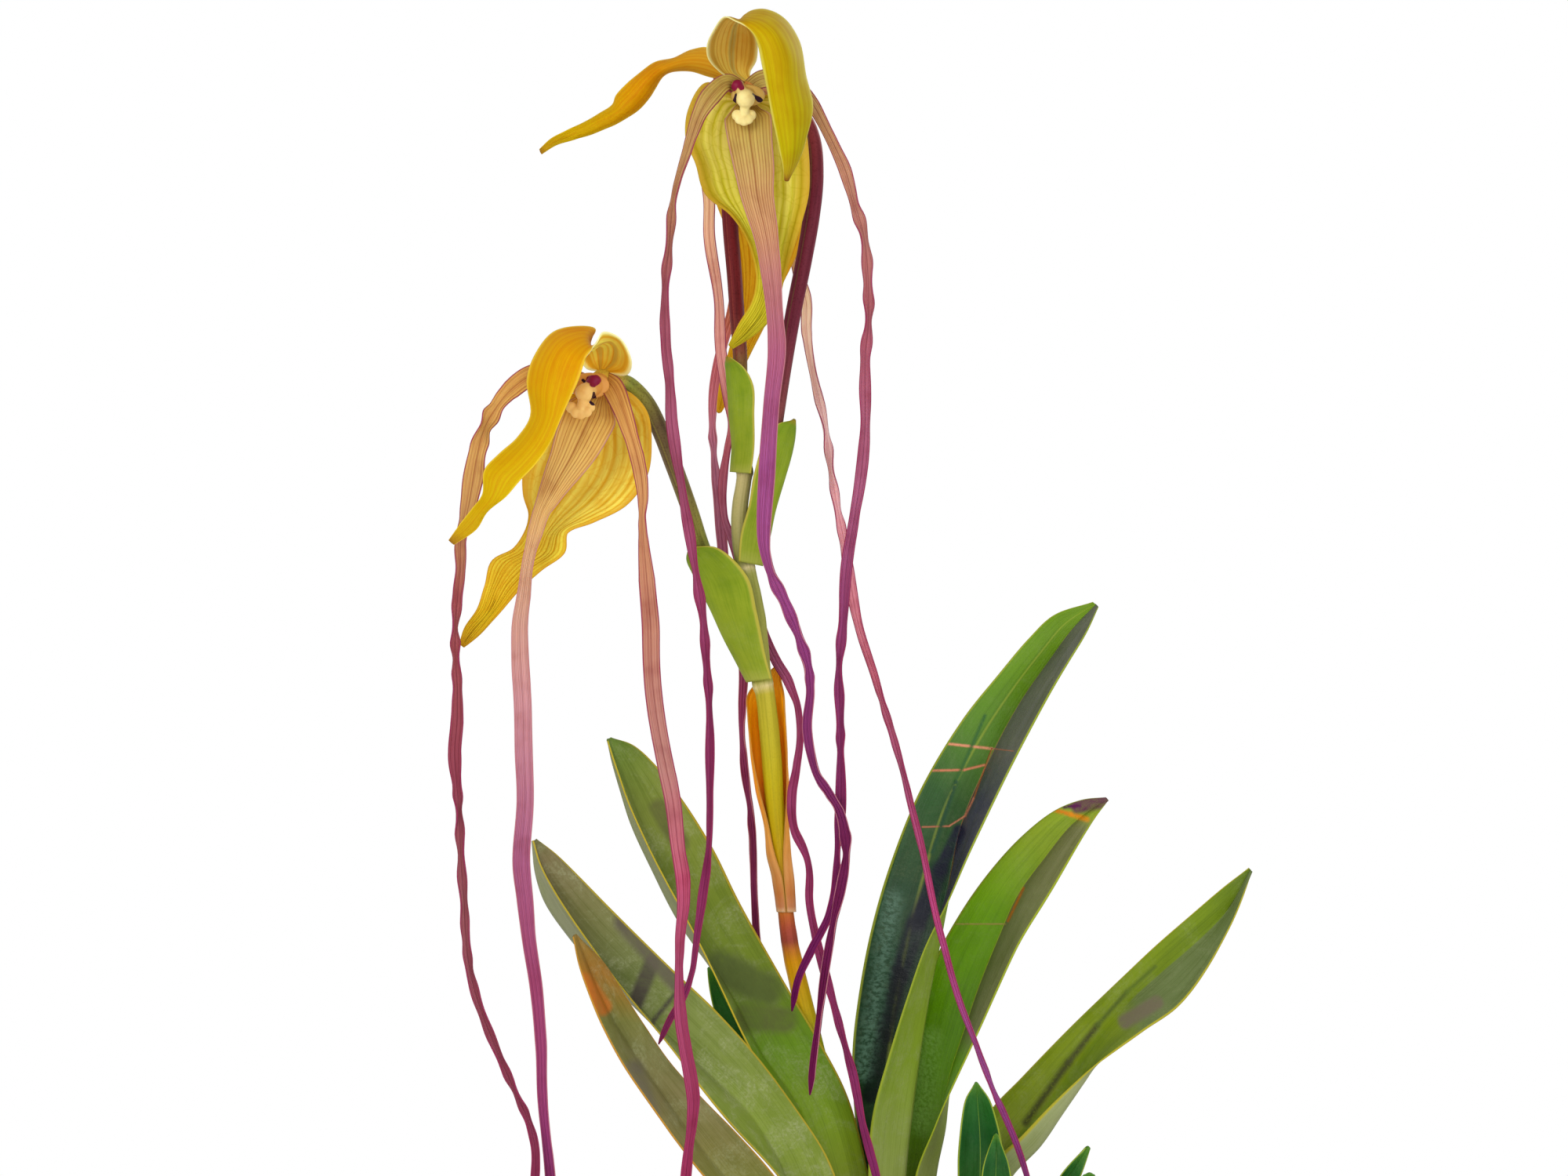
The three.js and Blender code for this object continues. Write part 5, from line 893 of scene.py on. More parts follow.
def leaf_paint(name, along, margin, dust=0.2, gloss=0.4, midrib=None, tint="ccd4a4", marks=(),
               half_tints_sheen_shade=(), crease=None, shine=None):
    """A leathery blade: nerves, a thin pale margin, a midrib, dust, old scars, painted shade along
    lines, tints on a half that are partly painted sheen and painted shade, and a painted highlight over
    wrinkles.
    """
    paint = Paint(name, {
        "Specular IOR Level": 0.12, "Coat Weight": max(0.0, 0.3 - gloss), "Coat Roughness": 0.35,
        "Subsurface Weight": 0.04, "Subsurface Radius": (0.5, 1.0, 0.2), "Subsurface Scale": 0.0008})
    place, side, share, out = paint.blade_place()
    spot = paint.object_place()
    colour = paint.ramp(share, along)
    # Tints on one half between two shares: on the inner leaves these are a painted grey sheen and
    # painted shade in the fold.
    for near, low, high, shade in half_tints_sheen_shade:
        half = paint.remap(side, 0.47, 0.5, 1, 0) if near else paint.remap(side, 0.5, 0.53)
        half = paint.math("MULTIPLY", half, paint.remap(share, low - 0.04, low + 0.04, 0, 0.9))
        half = paint.math("MULTIPLY", half, paint.remap(share, high - 0.04, high + 0.04, 1, 0))
        colour = paint.mix(half, colour, shade)
    cloud = paint.noise(paint.stretched(place, (2.5, 5, 1)), 1.0, 4.0, 0.6)
    colour = tinted(paint, colour, paint.remap(cloud, 0.35, 0.75, 0, 0.7), tint)
    nerve = paint.noise(paint.stretched(place, (70, 3, 1)), 1.0, 3.0, 0.6)
    colour = tinted(paint, colour, paint.remap(nerve, 0.45, 0.65, 0, 0.5), tint)
    grain = paint.cells(spot, 1500.0)
    film = paint.noise(spot, 70.0, 6.0, 0.75, 0.6)
    fleck = paint.noise(spot, 900.0, 2.0, 0.7)
    grey = paint.math(
        "MULTIPLY", paint.remap(film, 0.42, 0.66), paint.remap(fleck, 0.4, 0.66, 0.3, 1.0))
    colour = paint.mix(paint.math("MULTIPLY", grey, dust), colour, "a6aa84")
    if crease:
        near_crease = paint.peaks(side, [(0.5 + crease[0] / 2, 0.02, 0.6)])
        colour = paint.mix(near_crease, colour, crease[1])
    if midrib:
        colour = paint.mix(paint.remap(out, 0.0, 0.03, 0.85, 0.0), colour, midrib)
    # Marks along lines of the picture: real scars, and also painted shade and shadow in a fold's
    # channel, along a keel and beside a petal tip.
    for start, end, half, mark in marks:
        scar_and_shade = paint.line(spot, start, end, half, 0.4 if half >= 3 else 0.0)
        if half < 3:
            scar_and_shade = paint.math("MULTIPLY", scar_and_shade, paint.remap(fleck, 0.3, 0.5, 0.55, 1.0))
        else:
            scar_and_shade = paint.math("MULTIPLY", scar_and_shade, paint.remap(film, 0.3, 0.6, 0.55, 0.95))
        colour = paint.mix(scar_and_shade, colour, mark)
        if half < 3:
            paint.raise_(scar_and_shade, -0.2, 0.6)
    if shine:
        start, end, half, glint = shine
        wrinkle = paint.noise(paint.stretched(place, (26, 200, 1)), 1.0, 3.0, 0.6)
        glow = paint.math("MULTIPLY", paint.line(spot, start, end, half),
                          paint.remap(wrinkle, 0.36, 0.62, 0.15, 0.75))
        colour = paint.mix(glow, colour, glint)
        paint.raise_(wrinkle, 0.25, 0.6)
    colour = paint.mix(paint.remap(out, 0.95, 0.98), colour, margin)
    paint.raise_(nerve, 0.12, 0.6)
    paint.raise_(grain, 0.06, 0.5)
    rough = paint.math("ADD", paint.remap(film, 0.3, 0.7, gloss, gloss + 0.12),
                       paint.math("MULTIPLY", grey, dust))
    return paint.done(colour, rough)


def stem_paint(name, along, tint, edge=None, speckle=0.4, ribs=5):
    """A round stem: colour along it, faint ribs and speckles."""
    paint = Paint(name, {
        "Specular IOR Level": 0.12, "Subsurface Weight": 0.05, "Subsurface Scale": 0.001})
    place, side, share, _ = paint.blade_place()
    spot = paint.object_place()
    colour = paint.ramp(share, along)
    streak = paint.noise(paint.stretched(place, (ribs * 3, 5, 1)), 1.0, 3.0, 0.6)
    colour = tinted(paint, colour, paint.remap(streak, 0.42, 0.66, 0, 0.6), tint)
    if edge:
        rib = paint.math("ABSOLUTE", paint.math("SINE", paint.math("MULTIPLY", side, ribs * math.pi)))
        colour = paint.mix(paint.remap(rib, 0.0, 0.2, 0.6, 0.0), colour, edge)
    fleck = paint.noise(spot, 1400.0, 2.0, 0.6)
    colour = tinted(paint, colour, paint.remap(fleck, 0.5, 0.7, 0, speckle), tint)
    paint.raise_(streak, 0.15, 0.5)
    paint.raise_(fleck, 0.05, 0.4)
    return paint.done(colour, paint.remap(streak, 0.3, 0.7, 0.38, 0.56))


def column_paint(name, waxy, collar):
    """The waxy column, with its collar, maroon patch and dark eyes read from the mesh."""
    paint = Paint(name, {
        "Roughness": 0.42, "Specular IOR Level": 0.2, "Subsurface Weight": 0.2,
        "Subsurface Radius": (1.0, 0.7, 0.35), "Subsurface Scale": 0.0012})
    spot = paint.object_place()
    stain = paint.node("ShaderNodeAttribute", {}, "Color", attribute_name="stain")
    patch = paint.node("ShaderNodeSeparateColor", {0: stain}, 0)
    eye = paint.node("ShaderNodeSeparateColor", {0: stain}, 1)
    behind = paint.node("ShaderNodeSeparateColor", {0: stain}, 2)
    cloud = paint.noise(spot, 420.0, 3.0)
    colour = paint.mix(paint.remap(cloud, 0.35, 0.7, 0, 0.3), waxy, collar)
    colour = paint.mix(behind, colour, collar)
    fleck = paint.noise(spot, 1100.0, 3.0, 0.7)
    ragged = paint.math("ADD", patch, paint.math("MULTIPLY_ADD", fleck, 0.9, -0.45))
    ragged = paint.remap(ragged, 0.3, 0.5)
    colour = paint.mix(ragged, colour, "86123c")
    dark = paint.remap(paint.math("ADD", eye, paint.math("MULTIPLY_ADD", fleck, 0.4, -0.2)), 0.3, 0.45)
    colour = paint.mix(dark, colour, "2c0824")
    paint.raise_(cloud, 0.3, 0.4)
    paint.raise_(fleck, 0.08, 0.4)
    return paint.done(colour)


def bark_paint():
    """Damp bark: each chip its own brown, grained, pitted and dusty."""
    paint = Paint("damp_bark", {"Specular IOR Level": 0.3})
    spot = paint.object_place()
    shade = paint.node("ShaderNodeAttribute", {}, "Fac", attribute_name="chip_shade")
    grain = paint.noise(paint.stretched(spot, (160, 160, 620)), 1.0, 6.0, 0.65, 0.8)
    pits = paint.cells(spot, 260.0)
    colour = paint.ramp(shade, [(0.0, "2c1c12"), (0.35, "4a2f1d"), (0.7, "6b4529"), (1.0, "8a6038")])
    colour = tinted(paint, colour, paint.remap(grain, 0.4, 0.62), "6b5442")
    dust = paint.noise(spot, 130.0, 4.0, 0.6)
    colour = paint.mix(paint.remap(dust, 0.55, 0.8, 0, 0.35), colour, "a08a6c")
    paint.raise_(grain, 1.1, 0.8)
    paint.raise_(pits, 0.5, 0.4)
    return paint.done(colour, paint.remap(dust, 0.3, 0.7, 0.65, 0.92))


def clay_paint(clay):
    """Fired clay: throwing lines, grain, a damp foot and a pale bloom of salts."""
    paint = Paint("fired_clay", {"Specular IOR Level": 0.25})
    spot = paint.object_place()
    height = paint.node("ShaderNodeSeparateXYZ", {0: spot}, 2)
    cloud = paint.noise(spot, 22.0, 5.0, 0.6)
    grain = paint.noise(spot, 900.0, 3.0, 0.7)
    rings = paint.noise(paint.stretched(spot, (4, 4, 420)), 1.0, 3.0, 0.5)
    colour = paint.mix(paint.remap(cloud, 0.3, 0.7), (*clay, 1), (*[c * 0.72 for c in clay], 1))
    colour = tinted(paint, colour, paint.remap(rings, 0.42, 0.62, 0, 0.45), "d9b8a4")
    salts = paint.math("MULTIPLY", paint.remap(cloud, 0.48, 0.66),
                       paint.math("ADD", paint.remap(height, 0.0, 0.035, 0.75, 0.0),
                                  paint.remap(height, 0.075, 0.1, 0.0, 0.45)))
    ragged = paint.math("MULTIPLY", salts, paint.remap(grain, 0.35, 0.6, 0.4, 1.0))
    colour = paint.mix(ragged, colour, "d8c8b4")
    colour = tinted(paint, colour, paint.remap(height, 0.0, 0.012, 0.6, 0.0), "8a6f60")
    colour = tinted(paint, colour, paint.remap(grain, 0.55, 0.75, 0, 0.5), "7a5a48")
    paint.raise_(rings, 0.5, 0.5)
    paint.raise_(grain, 0.18, 0.6)
    return paint.done(colour, paint.remap(cloud, 0.3, 0.7, 0.78, 0.92))


# Colours along the blades: (height in the picture, colour)

LEAF_LOOKS = {
    "leaf_left_upper": dict(
        up_first=True, gloss=0.46, dust=0.34, margin="b8a42c", under="8a9066",
        colours=[(1712, "969d3b"), (1560, "859325"), (1440, "78931e"), (1340, "648916"),
                 (1250, "6a7e21"), (1150, "718228"), (1050, "7d8939"), (945, "627d2e")],
        marks=[((920, 1232), (978, 1262), 9, "4f5c2a"), ((950, 1296), (1000, 1300), 7, "56602c"),
               ((840, 1030), (868, 1075), 5, "5c6030")]),
    "leaf_left_middle": dict(
        up_first=True, gloss=0.5, dust=0.5, margin="b4a030", under="8c9070",
        colours=[(1716, "8c9845"), (1560, "7e9037"), (1430, "80923b"), (1340, "7a8843"),
                 (1260, "6b7540"), (1180, "787649"), (1110, "817454"), (1072, "67663c")],
        # The thin second mark is the painted shadow of the tip of the top bloom's left petal.
        marks=[((813, 1272), (834, 1222), 4.2, "464038"), ((834, 1296), (862, 1262), 1.8, "4a4838"),
               ((800, 1170), (868, 1246), 6, "5c5648")]),
    "leaf_left_lower": dict(
        up_first=True, gloss=0.46, dust=0.3, margin="b8862c", under="80805c",
        colours=[(1720, "8c9449"), (1560, "80843a"), (1460, "7c7642"), (1400, "7a7249"),
                 (1340, "767346"), (1300, "717139"), (1278, "7e6d2d"), (1240, "966823"),
                 (1195, "8f7335")],
        marks=[((812, 1350), (832, 1400), 6, "66604c"), ((752, 1236), (776, 1270), 4, "b4641e")]),
    "leaf_right_inner": dict(
        up_first=False, gloss=0.24, dust=0.08, margin="8e9c2c", under="829b2c", midrib="96622a",
        colours=[(1712, "6d8635"), (1600, "355826"), (1480, "173a1a"), (1300, "0f361f"),
                 (1150, "1b4425"), (1040, "315a2b"), (960, "547d27"), (880, "628a17"), (770, "6e911a")],
        # On the near half: a painted grey sheen higher up and painted shade in the fold below it.
        half_tints_sheen_shade=[(True, 0.66, 1.1, "5c5a5a"), (True, 0.5, 0.68, "3c3850")],
        crease=(0.45, "93a036"),
        # From the dark green line at (1259, 915) on down the fold, the marks are painted shade in the
        # channel; the pale and orange marks are scars.
        marks=[((1207, 950), (1268, 957), 0.9, "d88c6c"), ((1268, 957), (1294, 959), 0.4, "94604c"),
               ((1190, 985), (1232, 984), 0.8, "c87858"), ((1232, 984), (1258, 978), 0.8, "c87858"),
               ((1268, 957), (1244, 1020), 0.5, "94562c"),
               ((1178, 1057), (1212, 1056), 0.6, "b06c50"), ((1212, 1056), (1233, 1043), 0.6, "b87458"),
               ((1233, 1043), (1244, 1020), 0.6, "b87458"), ((1259, 915), (1221, 1000), 1.3, "34602a"),
               ((1221, 1000), (1190, 1090), 1.6, "20482c"), ((1225, 1062), (1200, 1112), 3.4, "14102e"),
               ((1200, 1112), (1170, 1180), 5.2, "0c0e26"), ((1168, 1185), (1148, 1246), 5.4, "060c1e"),
               ((1148, 1246), (1128, 1323), 4.6, "060e16"),
                ((1128, 1323), (1110, 1400), 4.2, "04100e")],
        shine=((1140, 1150), (1100, 1370), 6.5, "587c68")),
    "leaf_right_outer": dict(
        up_first=False, gloss=0.36, dust=0.1, margin="98a428", under="8a9c3c", midrib="9cac34",
        colours=[(1712, "9c993e"), (1600, "768b24"), (1450, "587f12"), (1300, "609306"),
                 (1180, "73a50b"), (1090, "8ea62a"), (1020, "8ea12a")],
        # On the near half: a painted grey sheen.
        half_tints_sheen_shade=[(True, 0.4, 0.86, "716e50")],
        marks=[((1215, 1184), (1286, 1184), 0.5, "9c8a48"), ((1289, 1180), (1310, 1138), 0.8, "b0641c"),
               ((1350, 1038), (1373, 1044), 1.5, "d07c18"), ((1373, 1044), (1393, 1050), 1.8, "d88814"),
               ((1364, 1034), (1384, 1033), 1.5, "4c1c48"), ((1382, 1034), (1420, 1026), 3.8, "5a124c"),
               ((1406, 1046), (1379, 1086), 1.0, "c88c1c")],
        shine=((1190, 1330), (1176, 1440), 7, "7ca84c")),
    "leaf_right_low": dict(
        up_first=False, gloss=0.38, dust=0.14, margin="a8a02c", under="98a070",
        colours=[(1712, "919350"), (1600, "7e8530"), (1440, "768514"), (1300, "728514"),
                 (1180, "6e8514"), (1108, "5d7418")],
        half_tints_sheen_shade=[(True, 0.2, 0.55, "667c10"), (True, 0.62, 1.1, "66744a")],
        # The first four marks are painted shade along the valley of the keel.
        marks=[((1311, 1438), (1367, 1363), 2.6, "3c4014"), ((1367, 1363), (1405, 1316), 2.2, "40441c"),
               ((1405, 1316), (1444, 1274), 1.6, "4c5c1c"), ((1444, 1274), (1482, 1242), 1.4, "54681c"),
               ((1440, 1310), (1482, 1285), 3.5, "6c6450")]),
}

YOUNG_LOOK = [(0.0, "85a147"), (0.35, "2e6525"), (0.6, "1e5825"), (0.85, "2a6925"), (1.0, "508225")]
BRACT_LOOK = [(0.0, "a2a645"), (0.08, "8d9b28"), (0.5, "8b9e24"), (0.9, "7a931c"), (1.0, "9c872b")]
SCAPE_LOOK = [
    (1716, "9ba04e"), (1420, "95a01b"), (1330, "a3a813"), (1290, "bfa00f"), (1225, "d6930a"),
    (1210, "c07228"), (1200, "984337"), (1185, "a64936"), (1168, "b95f2c"), (1150, "c57f1e"),
    (1120, "c99711"), (1060, "bba00b"), (1000, "c2b015"), (950, "bdaf27"), (886, "b8ab33"),
    (875, "d4c488"), (868, "a19f44"), (735, "9d9f52"), (724, "dccd99"), (716, "999b52"),
    (606, "d4c48c"), (600, "8f9240"), (486, "929633")]
SHEATH_LOOK = [
    (1163, "dcb48c"), (1156, "c08058"), (1140, "c07c48"), (1100, "d49858"), (1060, "e8a048"),
    (1000, "fc9c20"), (940, "ffa610"), (900, "ffac10"), (850, "f0a428")]
PEDICEL_LOOKS = {
    "top_pedicel": dict(tint="b08c9c", edge="6a5c30", colours=[
        (692, "83783b"), (620, "856436"), (520, "7c3f3f"), (420, "74283b"), (250, "78283b"),
        (150, "963f3f"), (118, "d69453")]),
    "left_pedicel": dict(tint="a08c94", edge="9a9440", colours=[
        (806, "7fa13b"), (730, "839a3b"), (660, "8e883f"), (600, "7f6c47"), (540, "6f5e3f"),
        (500, "8e8d37"), (489, "909a3f"), (486, "ddbb47")]),
    "back_pedicel": dict(tint="b08c9c", edge="8c3c30", colours=[
        (484, "847632"), (450, "7b4430"), (400, "6f2124"), (250, "6f1a21"), (110, "8a362f")]),
}

STRAP_VEINS = [(0.0, 0.12, 0.7), (0.28, 0.1, 0.5), (0.52, 0.09, 0.6), (0.74, 0.08, 0.5)]
HOOD_VEINS = [(0.0, 0.07, 0.9), (0.22, 0.06, 0.8), (0.44, 0.05, 0.7), (0.62, 0.05, 0.7)]
SYNSEPAL_VEINS = [(0.06, 0.08, 0.8), (0.27, 0.07, 1.0), (0.45, 0.05, 0.7), (0.58, 0.06, 1.0),
                  (0.74, 0.05, 0.8), (0.88, 0.04, 0.8)]
SHEATH_VEINS = [(0.1, 0.1, 0.4), (0.5, 0.08, 0.5), (0.8, 0.1, 0.6)]
RIBBON_VEINS = [(0.0, 0.14, 0.8), (0.36, 0.1, 0.35), (0.64, 0.1, 0.5), (1.0, 0.12, 0.8)]
LIP_VEINS = [(0.0, 0.06, 1.0), (0.16, 0.04, 0.6), (0.31, 0.04, 0.75), (0.46, 0.04, 0.6),
             (0.6, 0.04, 0.75), (0.75, 0.05, 0.6), (0.9, 0.05, 0.8)]

# Rim, veins, colour of the veins, streaks and their depth, and where the rim begins
RIBBON_FINISH = {
    "petal": ("8c2c54", RIBBON_VEINS, "c07c90", 14, 0.6, 0.86),
    "lip": ("b0707c", LIP_VEINS, "c4948c", 34, 0.4, 0.92),
}

LIME_STRAP = [(0.0, "c3ac3d"), (0.3, "bf9514"), (0.42, "b89106"), (0.55, "bba104"), (0.75, "b8a604"),
              (0.9, "b0a506"), (0.97, "ac951c"), (1.0, "89541c")]
LIME_HOOD = [(0.0, "f3db62"), (0.1, "f3db6a"), (0.3, "ebcb65"), (0.4, "d2ae2e"), (1.0, "beaa17")]
LIME_FACE = [(0.0, "dfc853"), (0.12, "f3e676"), (0.35, "efe46d"), (0.55, "e0d951"), (0.8, "ccc131"),
             (1.0, "b3a01b")]
LIME_BACK = [(0.0, "b8b050"), (0.5, "b0ac2c"), (1.0, "a0981c")]
GOLD_STRAP = [(0.0, "cb9d2b"), (0.3, "cb9209"), (0.45, "cf9603"), (0.6, "caa103"), (0.85, "c5ac05"),
              (0.97, "ba9910"), (1.0, "9b7220")]
GOLD_HOOD = [(0.0, "fbcf44"), (0.12, "fff870"), (0.3, "ffff7d"), (0.4, "f2d32a"), (1.0, "eec60a")]
GOLD_FACE = [(0.0, "e3b638"), (0.15, "f3e166"), (0.4, "f1e163"), (0.6, "e0cd42"), (0.85, "d3b31e"),
             (1.0, "b98d18")]
GOLD_BACK = [(0.0, "dcb44c"), (0.5, "dcac1c"), (1.0, "cc9c18")]

SEPAL_LOOKS = {
    "top_dorsal_sepal": dict(
        first=LIME_HOOD, second=LIME_STRAP, tint="e8cc98", margin="d2c85c", hood_rim="e4dc9c",
        bands=[(0.72, 0.9, 0.42, "cca43c"), (0.0, 0.12, 0.4, "c8c070")]),
    "top_synsepal": dict(first=LIME_BACK, second=LIME_FACE, tint="d8d838", margin="bc9420", net=0.3,
                         bands=[(0.8, 0.95, 0.75, "bca41c")]),
    "left_dorsal_sepal": dict(
        first=GOLD_HOOD, second=GOLD_STRAP, tint="f4cc84", margin="ecc83c", hood_rim="f8ecb0",
        bands=[(0.7, 0.88, 0.42, "e4ac1c"), (0.25, 0.42, 0.4, "d8b850")]),
    "left_synsepal": dict(first=GOLD_BACK, second=GOLD_FACE, tint="ecc42c", margin="d09820", net=0.25),
    "back_dorsal_sepal": dict(first=GOLD_STRAP, second=GOLD_STRAP, tint="f0c87c", margin="e4bc18"),
    "back_synsepal": dict(first=GOLD_BACK, second=GOLD_BACK, tint="e4c44c", margin="d09820", net=0.2),
}

RIBBON_LOOKS = {
    "top_petal_left": [(105, "c5b359"), (190, "ba9661"), (300, "a26a59"), (370, "995462"),
                       (540, "a95f7e"),
                       (730, "a04a73"), (900, "8a3762"), (1140, "93386a"), (1330, "681d44")],
    "top_petal_right": [(101, "c5b765"), (134, "c19e69"), (260, "b68271"), (410, "a65d6a"),
                        (600, "a76180"),
                        (790, "8d406f"), (1140, "76245b"), (1290, "580c4a")],
    "top_lip": [(142, "bd9e3e"), (180, "c8b161"), (300, "c79671"), (350, "bc807b"), (450, "b16586"),
                (600, "a25491"), (850, "90407e"), (1060, "732659"), (1397, "651246")],
    "left_petal_left": [(482, "d09f4d"), (580, "c9a05b"), (665, "bd945e"), (760, "9c5456"),
                        (1000, "8a4152"),
                        (1150, "91565d"), (1500, "823052"), (1812, "531633")],
    "left_petal_right": [(483, "d4a34d"), (580, "cc9c5e"), (660, "c49165"), (800, "b8836d"),
                         (980, "b3817a"),
                         (1120, "b95776"), (1240, "a74e72"), (1500, "98345d"), (1840, "651b44")],
    "left_lip": [(513, "e1b757"), (583, "e8c370"), (652, "e1ba76"), (760, "cfa58d"), (900, "c7929a"),
                 (1100, "a86188"), (1260, "9f4a75"), (1460, "963f79"), (1850, "631951")],
    "back_petal_left": [(118, "cca040"), (255, "ecc498"), (450, "e4a49c"), (575, "c06878"),
                        (690, "bc7898"),
                        (900, "9c4870"), (1150, "983f6c"), (1552, "78245c")],
    "back_petal_right": [(112, "d0ac50"), (385, "f0d4b0"), (550, "ecc4c0"), (690, "e4a0ac"),
                         (860, "c0687c"),
                         (980, "a05474"), (1150, "c4548c"), (1340, "9c5090"), (1540, "70245c")],
    "back_lip": [(138, "c89030"), (300, "e4b45c"), (440, "d07478"), (580, "c4809c"), (900, "9c4470"),
                 (1030, "803058"), (1330, "70204c")],
}

# The column's marks, as chains of (px, py, radius): the maroon patch and the dark eyes
COLUMN_MARKS = {
    "top": dict(
        patch=((936, 112, 1.4), (941, 105, 1.5), (946, 113, 1.0)),
        eyes=(((938.5, 119, 0.35), (936.5, 127, 0.6), (936.5, 134, 0.8)),
              ((961, 120, 0.35), (968, 125, 1.0), (974, 128, 0.4))),
        wax="f4e49c", collar="cca858"),
    "left": dict(
        patch=((752, 484, 1.4), (760, 485, 1.9), (757, 490, 1.3)),
        eyes=(((742.5, 484, 0.5), (745, 486, 0.5)),
              ((757.5, 501, 0.3), (757.5, 508, 0.7), (756.5, 513, 1.2), (753.5, 513, 0.5))),
        wax="f4c878", collar="e0a050"),
    "back": dict(
        patch=((913, 102, 1.4), (918, 95, 1.5), (923, 103, 1.0)),
        eyes=(((915.5, 109, 0.35), (913.5, 117, 0.6), (913.5, 124, 0.8)),
              ((938, 110, 0.35), (945, 115, 1.0), (951, 118, 0.4))),
        wax="f4d080", collar="dca448"),
}


# Settings that a user would change

def colour_property(name, description, code):
    return FloatVectorProperty(
        name=name, description=description, subtype="COLOR", size=3, min=0, max=1, default=linear(code))


class OrchidLeafSettings(bpy.types.PropertyGroup):
    dust: FloatProperty(
        name="Dust", description="How much dust lies on the leaves", subtype="FACTOR",
        min=0, max=2, default=1)
    bow: FloatProperty(
        name="Bow", description="How far each half of a leaf bows, in millimetres", min=0, max=2,
        default=0.7)
    wave: FloatProperty(
        name="Wave", description="How far the margins wander, in millimetres", min=0, max=3,
        default=0.8)


class OrchidBloomSettings(bpy.types.PropertyGroup):
    vein_depth: FloatProperty(
        name="Vein depth", description="How deep the veins lie in the sepals, in millimetres",
        min=0, max=0.6, default=0.24)
    rim_roll: FloatProperty(
        name="Rim roll", description="How far the rim of the lower sepal rolls back, in millimetres",
        min=0, max=3, default=1.2)
    ribbon_fold: FloatProperty(
        name="Ribbon fold", description="How deep the ribbons are furrowed, in millimetres",
        min=0, max=0.6, default=0.2)


class OrchidPotSettings(bpy.types.PropertyGroup):
    clay: colour_property("Clay", "Colour of the fired clay", "b4694a")
    chips: IntProperty(name="Chips", description="Number of bark chips", min=20, max=600, default=300)
    chip_length: FloatProperty(
        name="Chip length", description="Usual length of a bark chip, in millimetres", min=4, max=30,
        default=14)


class OrchidStageSettings(bpy.types.PropertyGroup):
    floor: colour_property("Floor", "Colour of the floor", "f2f1ee")
    key_power: FloatProperty(
        name="Key power", description="Power of the main softbox", unit="POWER", min=0, default=26)
    room: FloatProperty(
        name="Room", description="Strength of the light from all sides", min=0, max=2, default=0.62)


# Operators

def ripple(seed, side, share, pace):
    """A slow wander over a blade, from -1 to 1."""
    return noise.noise(Vector((side * 0.8 + seed * 7.3, share * pace, seed * 1.7)))


def eased(share, rise, fall):
    """Fades a relief in from the base and out towards the tip."""
    return min(1, share * rise) * min(1, (1 - share) * fall)


class ORCHID_OT_leaves(bpy.types.Operator):
    """Make the six grown leaves, folded at the keel"""
    bl_idname = "orchid.leaves"
    bl_label = "Leaves"

    def execute(self, context):
        settings = context.scene.orchid_leaf
        for seed, (node, look) in enumerate(LEAF_LOOKS.items()):
            rows = LEAF_ROWS[node]
            inside = 1 if look["up_first"] else -1

            def relief(side, share, seed=seed, inside=inside):
                bow = settings.bow * math.sin(math.pi * abs(side)) * inside
                floor = 0.5 * math.exp(-(side / 0.07) ** 2) * inside
                wave = settings.wave * ripple(seed, side, share, 7) * side ** 2
                return (bow + floor + wave) * eased(share, 5, 8)
            stops = [(share_at(rows, py), colour) for py, colour in look["colours"]]
            upper = leaf_paint(
                f"{node}_upper", stops, look["margin"], look["dust"] * settings.dust, look["gloss"],
                look.get("midrib"), marks=look["marks"], half_tints_sheen_shade=look.get("half_tints_sheen_shade", ()),
                crease=look.get("crease"), shine=look.get("shine"))
            under = leaf_paint(
                f"{node}_under", [(0.0, "a4ac6c"), (0.3, look["under"]), (1.0, look["under"])],
                look["margin"], 0.3 * settings.dust, 0.5, tint="dce0c4")
            paints = [upper, under] if look["up_first"] else [under, upper]
            blade(node, rail_section(rows, True), GRIDS["leaf"], THICKNESS["leaf"], paints, relief)
        return {"FINISHED"}


class ORCHID_OT_young_leaves(bpy.types.Operator):
    """Make the young leaves of the new growths"""
    bl_idname = "orchid.young_leaves"
    bl_label = "Young leaves"

    def execute(self, context):
        paint = leaf_paint("young_leaf", YOUNG_LOOK, "8a9c2c", 0.06, 0.24, "7c9c2c")
        for seed, (node, rows) in enumerate(YOUNG_LEAF_ROWS.items()):
            def relief(side, share, seed=seed):
                return (0.5 * ripple(seed + 20, side, share, 6) * side ** 2
                        - 0.35 * math.exp(-(side / 0.1) ** 2)) * min(1, (1 - share) * 6)
            blade(
                node, rail_section(rows, False), GRIDS["young"], THICKNESS["young"], [paint], relief)
        return {"FINISHED"}


class ORCHID_OT_scape(bpy.types.Operator):
    """Make the zig-zag flower stem"""
    bl_idname = "orchid.scape"
    bl_label = "Scape"

    def execute(self, context):
        stops = [(share_at(SCAPE_ROWS, py), colour) for py, colour in SCAPE_LOOK]
        bm = bmesh.new()
        bm.loops.layers.uv.new(BLADE_UV)

        def ribs(angle, share):
            uneven = noise.noise(Vector((math.cos(angle), math.sin(angle), share * 60)))
            return 0.06 * math.cos(9 * angle) + 0.12 * uneven
        tube(bm, SCAPE_ROWS, GRIDS["scape"], ribs)
        show("scape_fine", "scape", bm, [stem_paint("scape_skin", stops, "d0d4a4", None, 0.25, 7)])
        return {"FINISHED"}


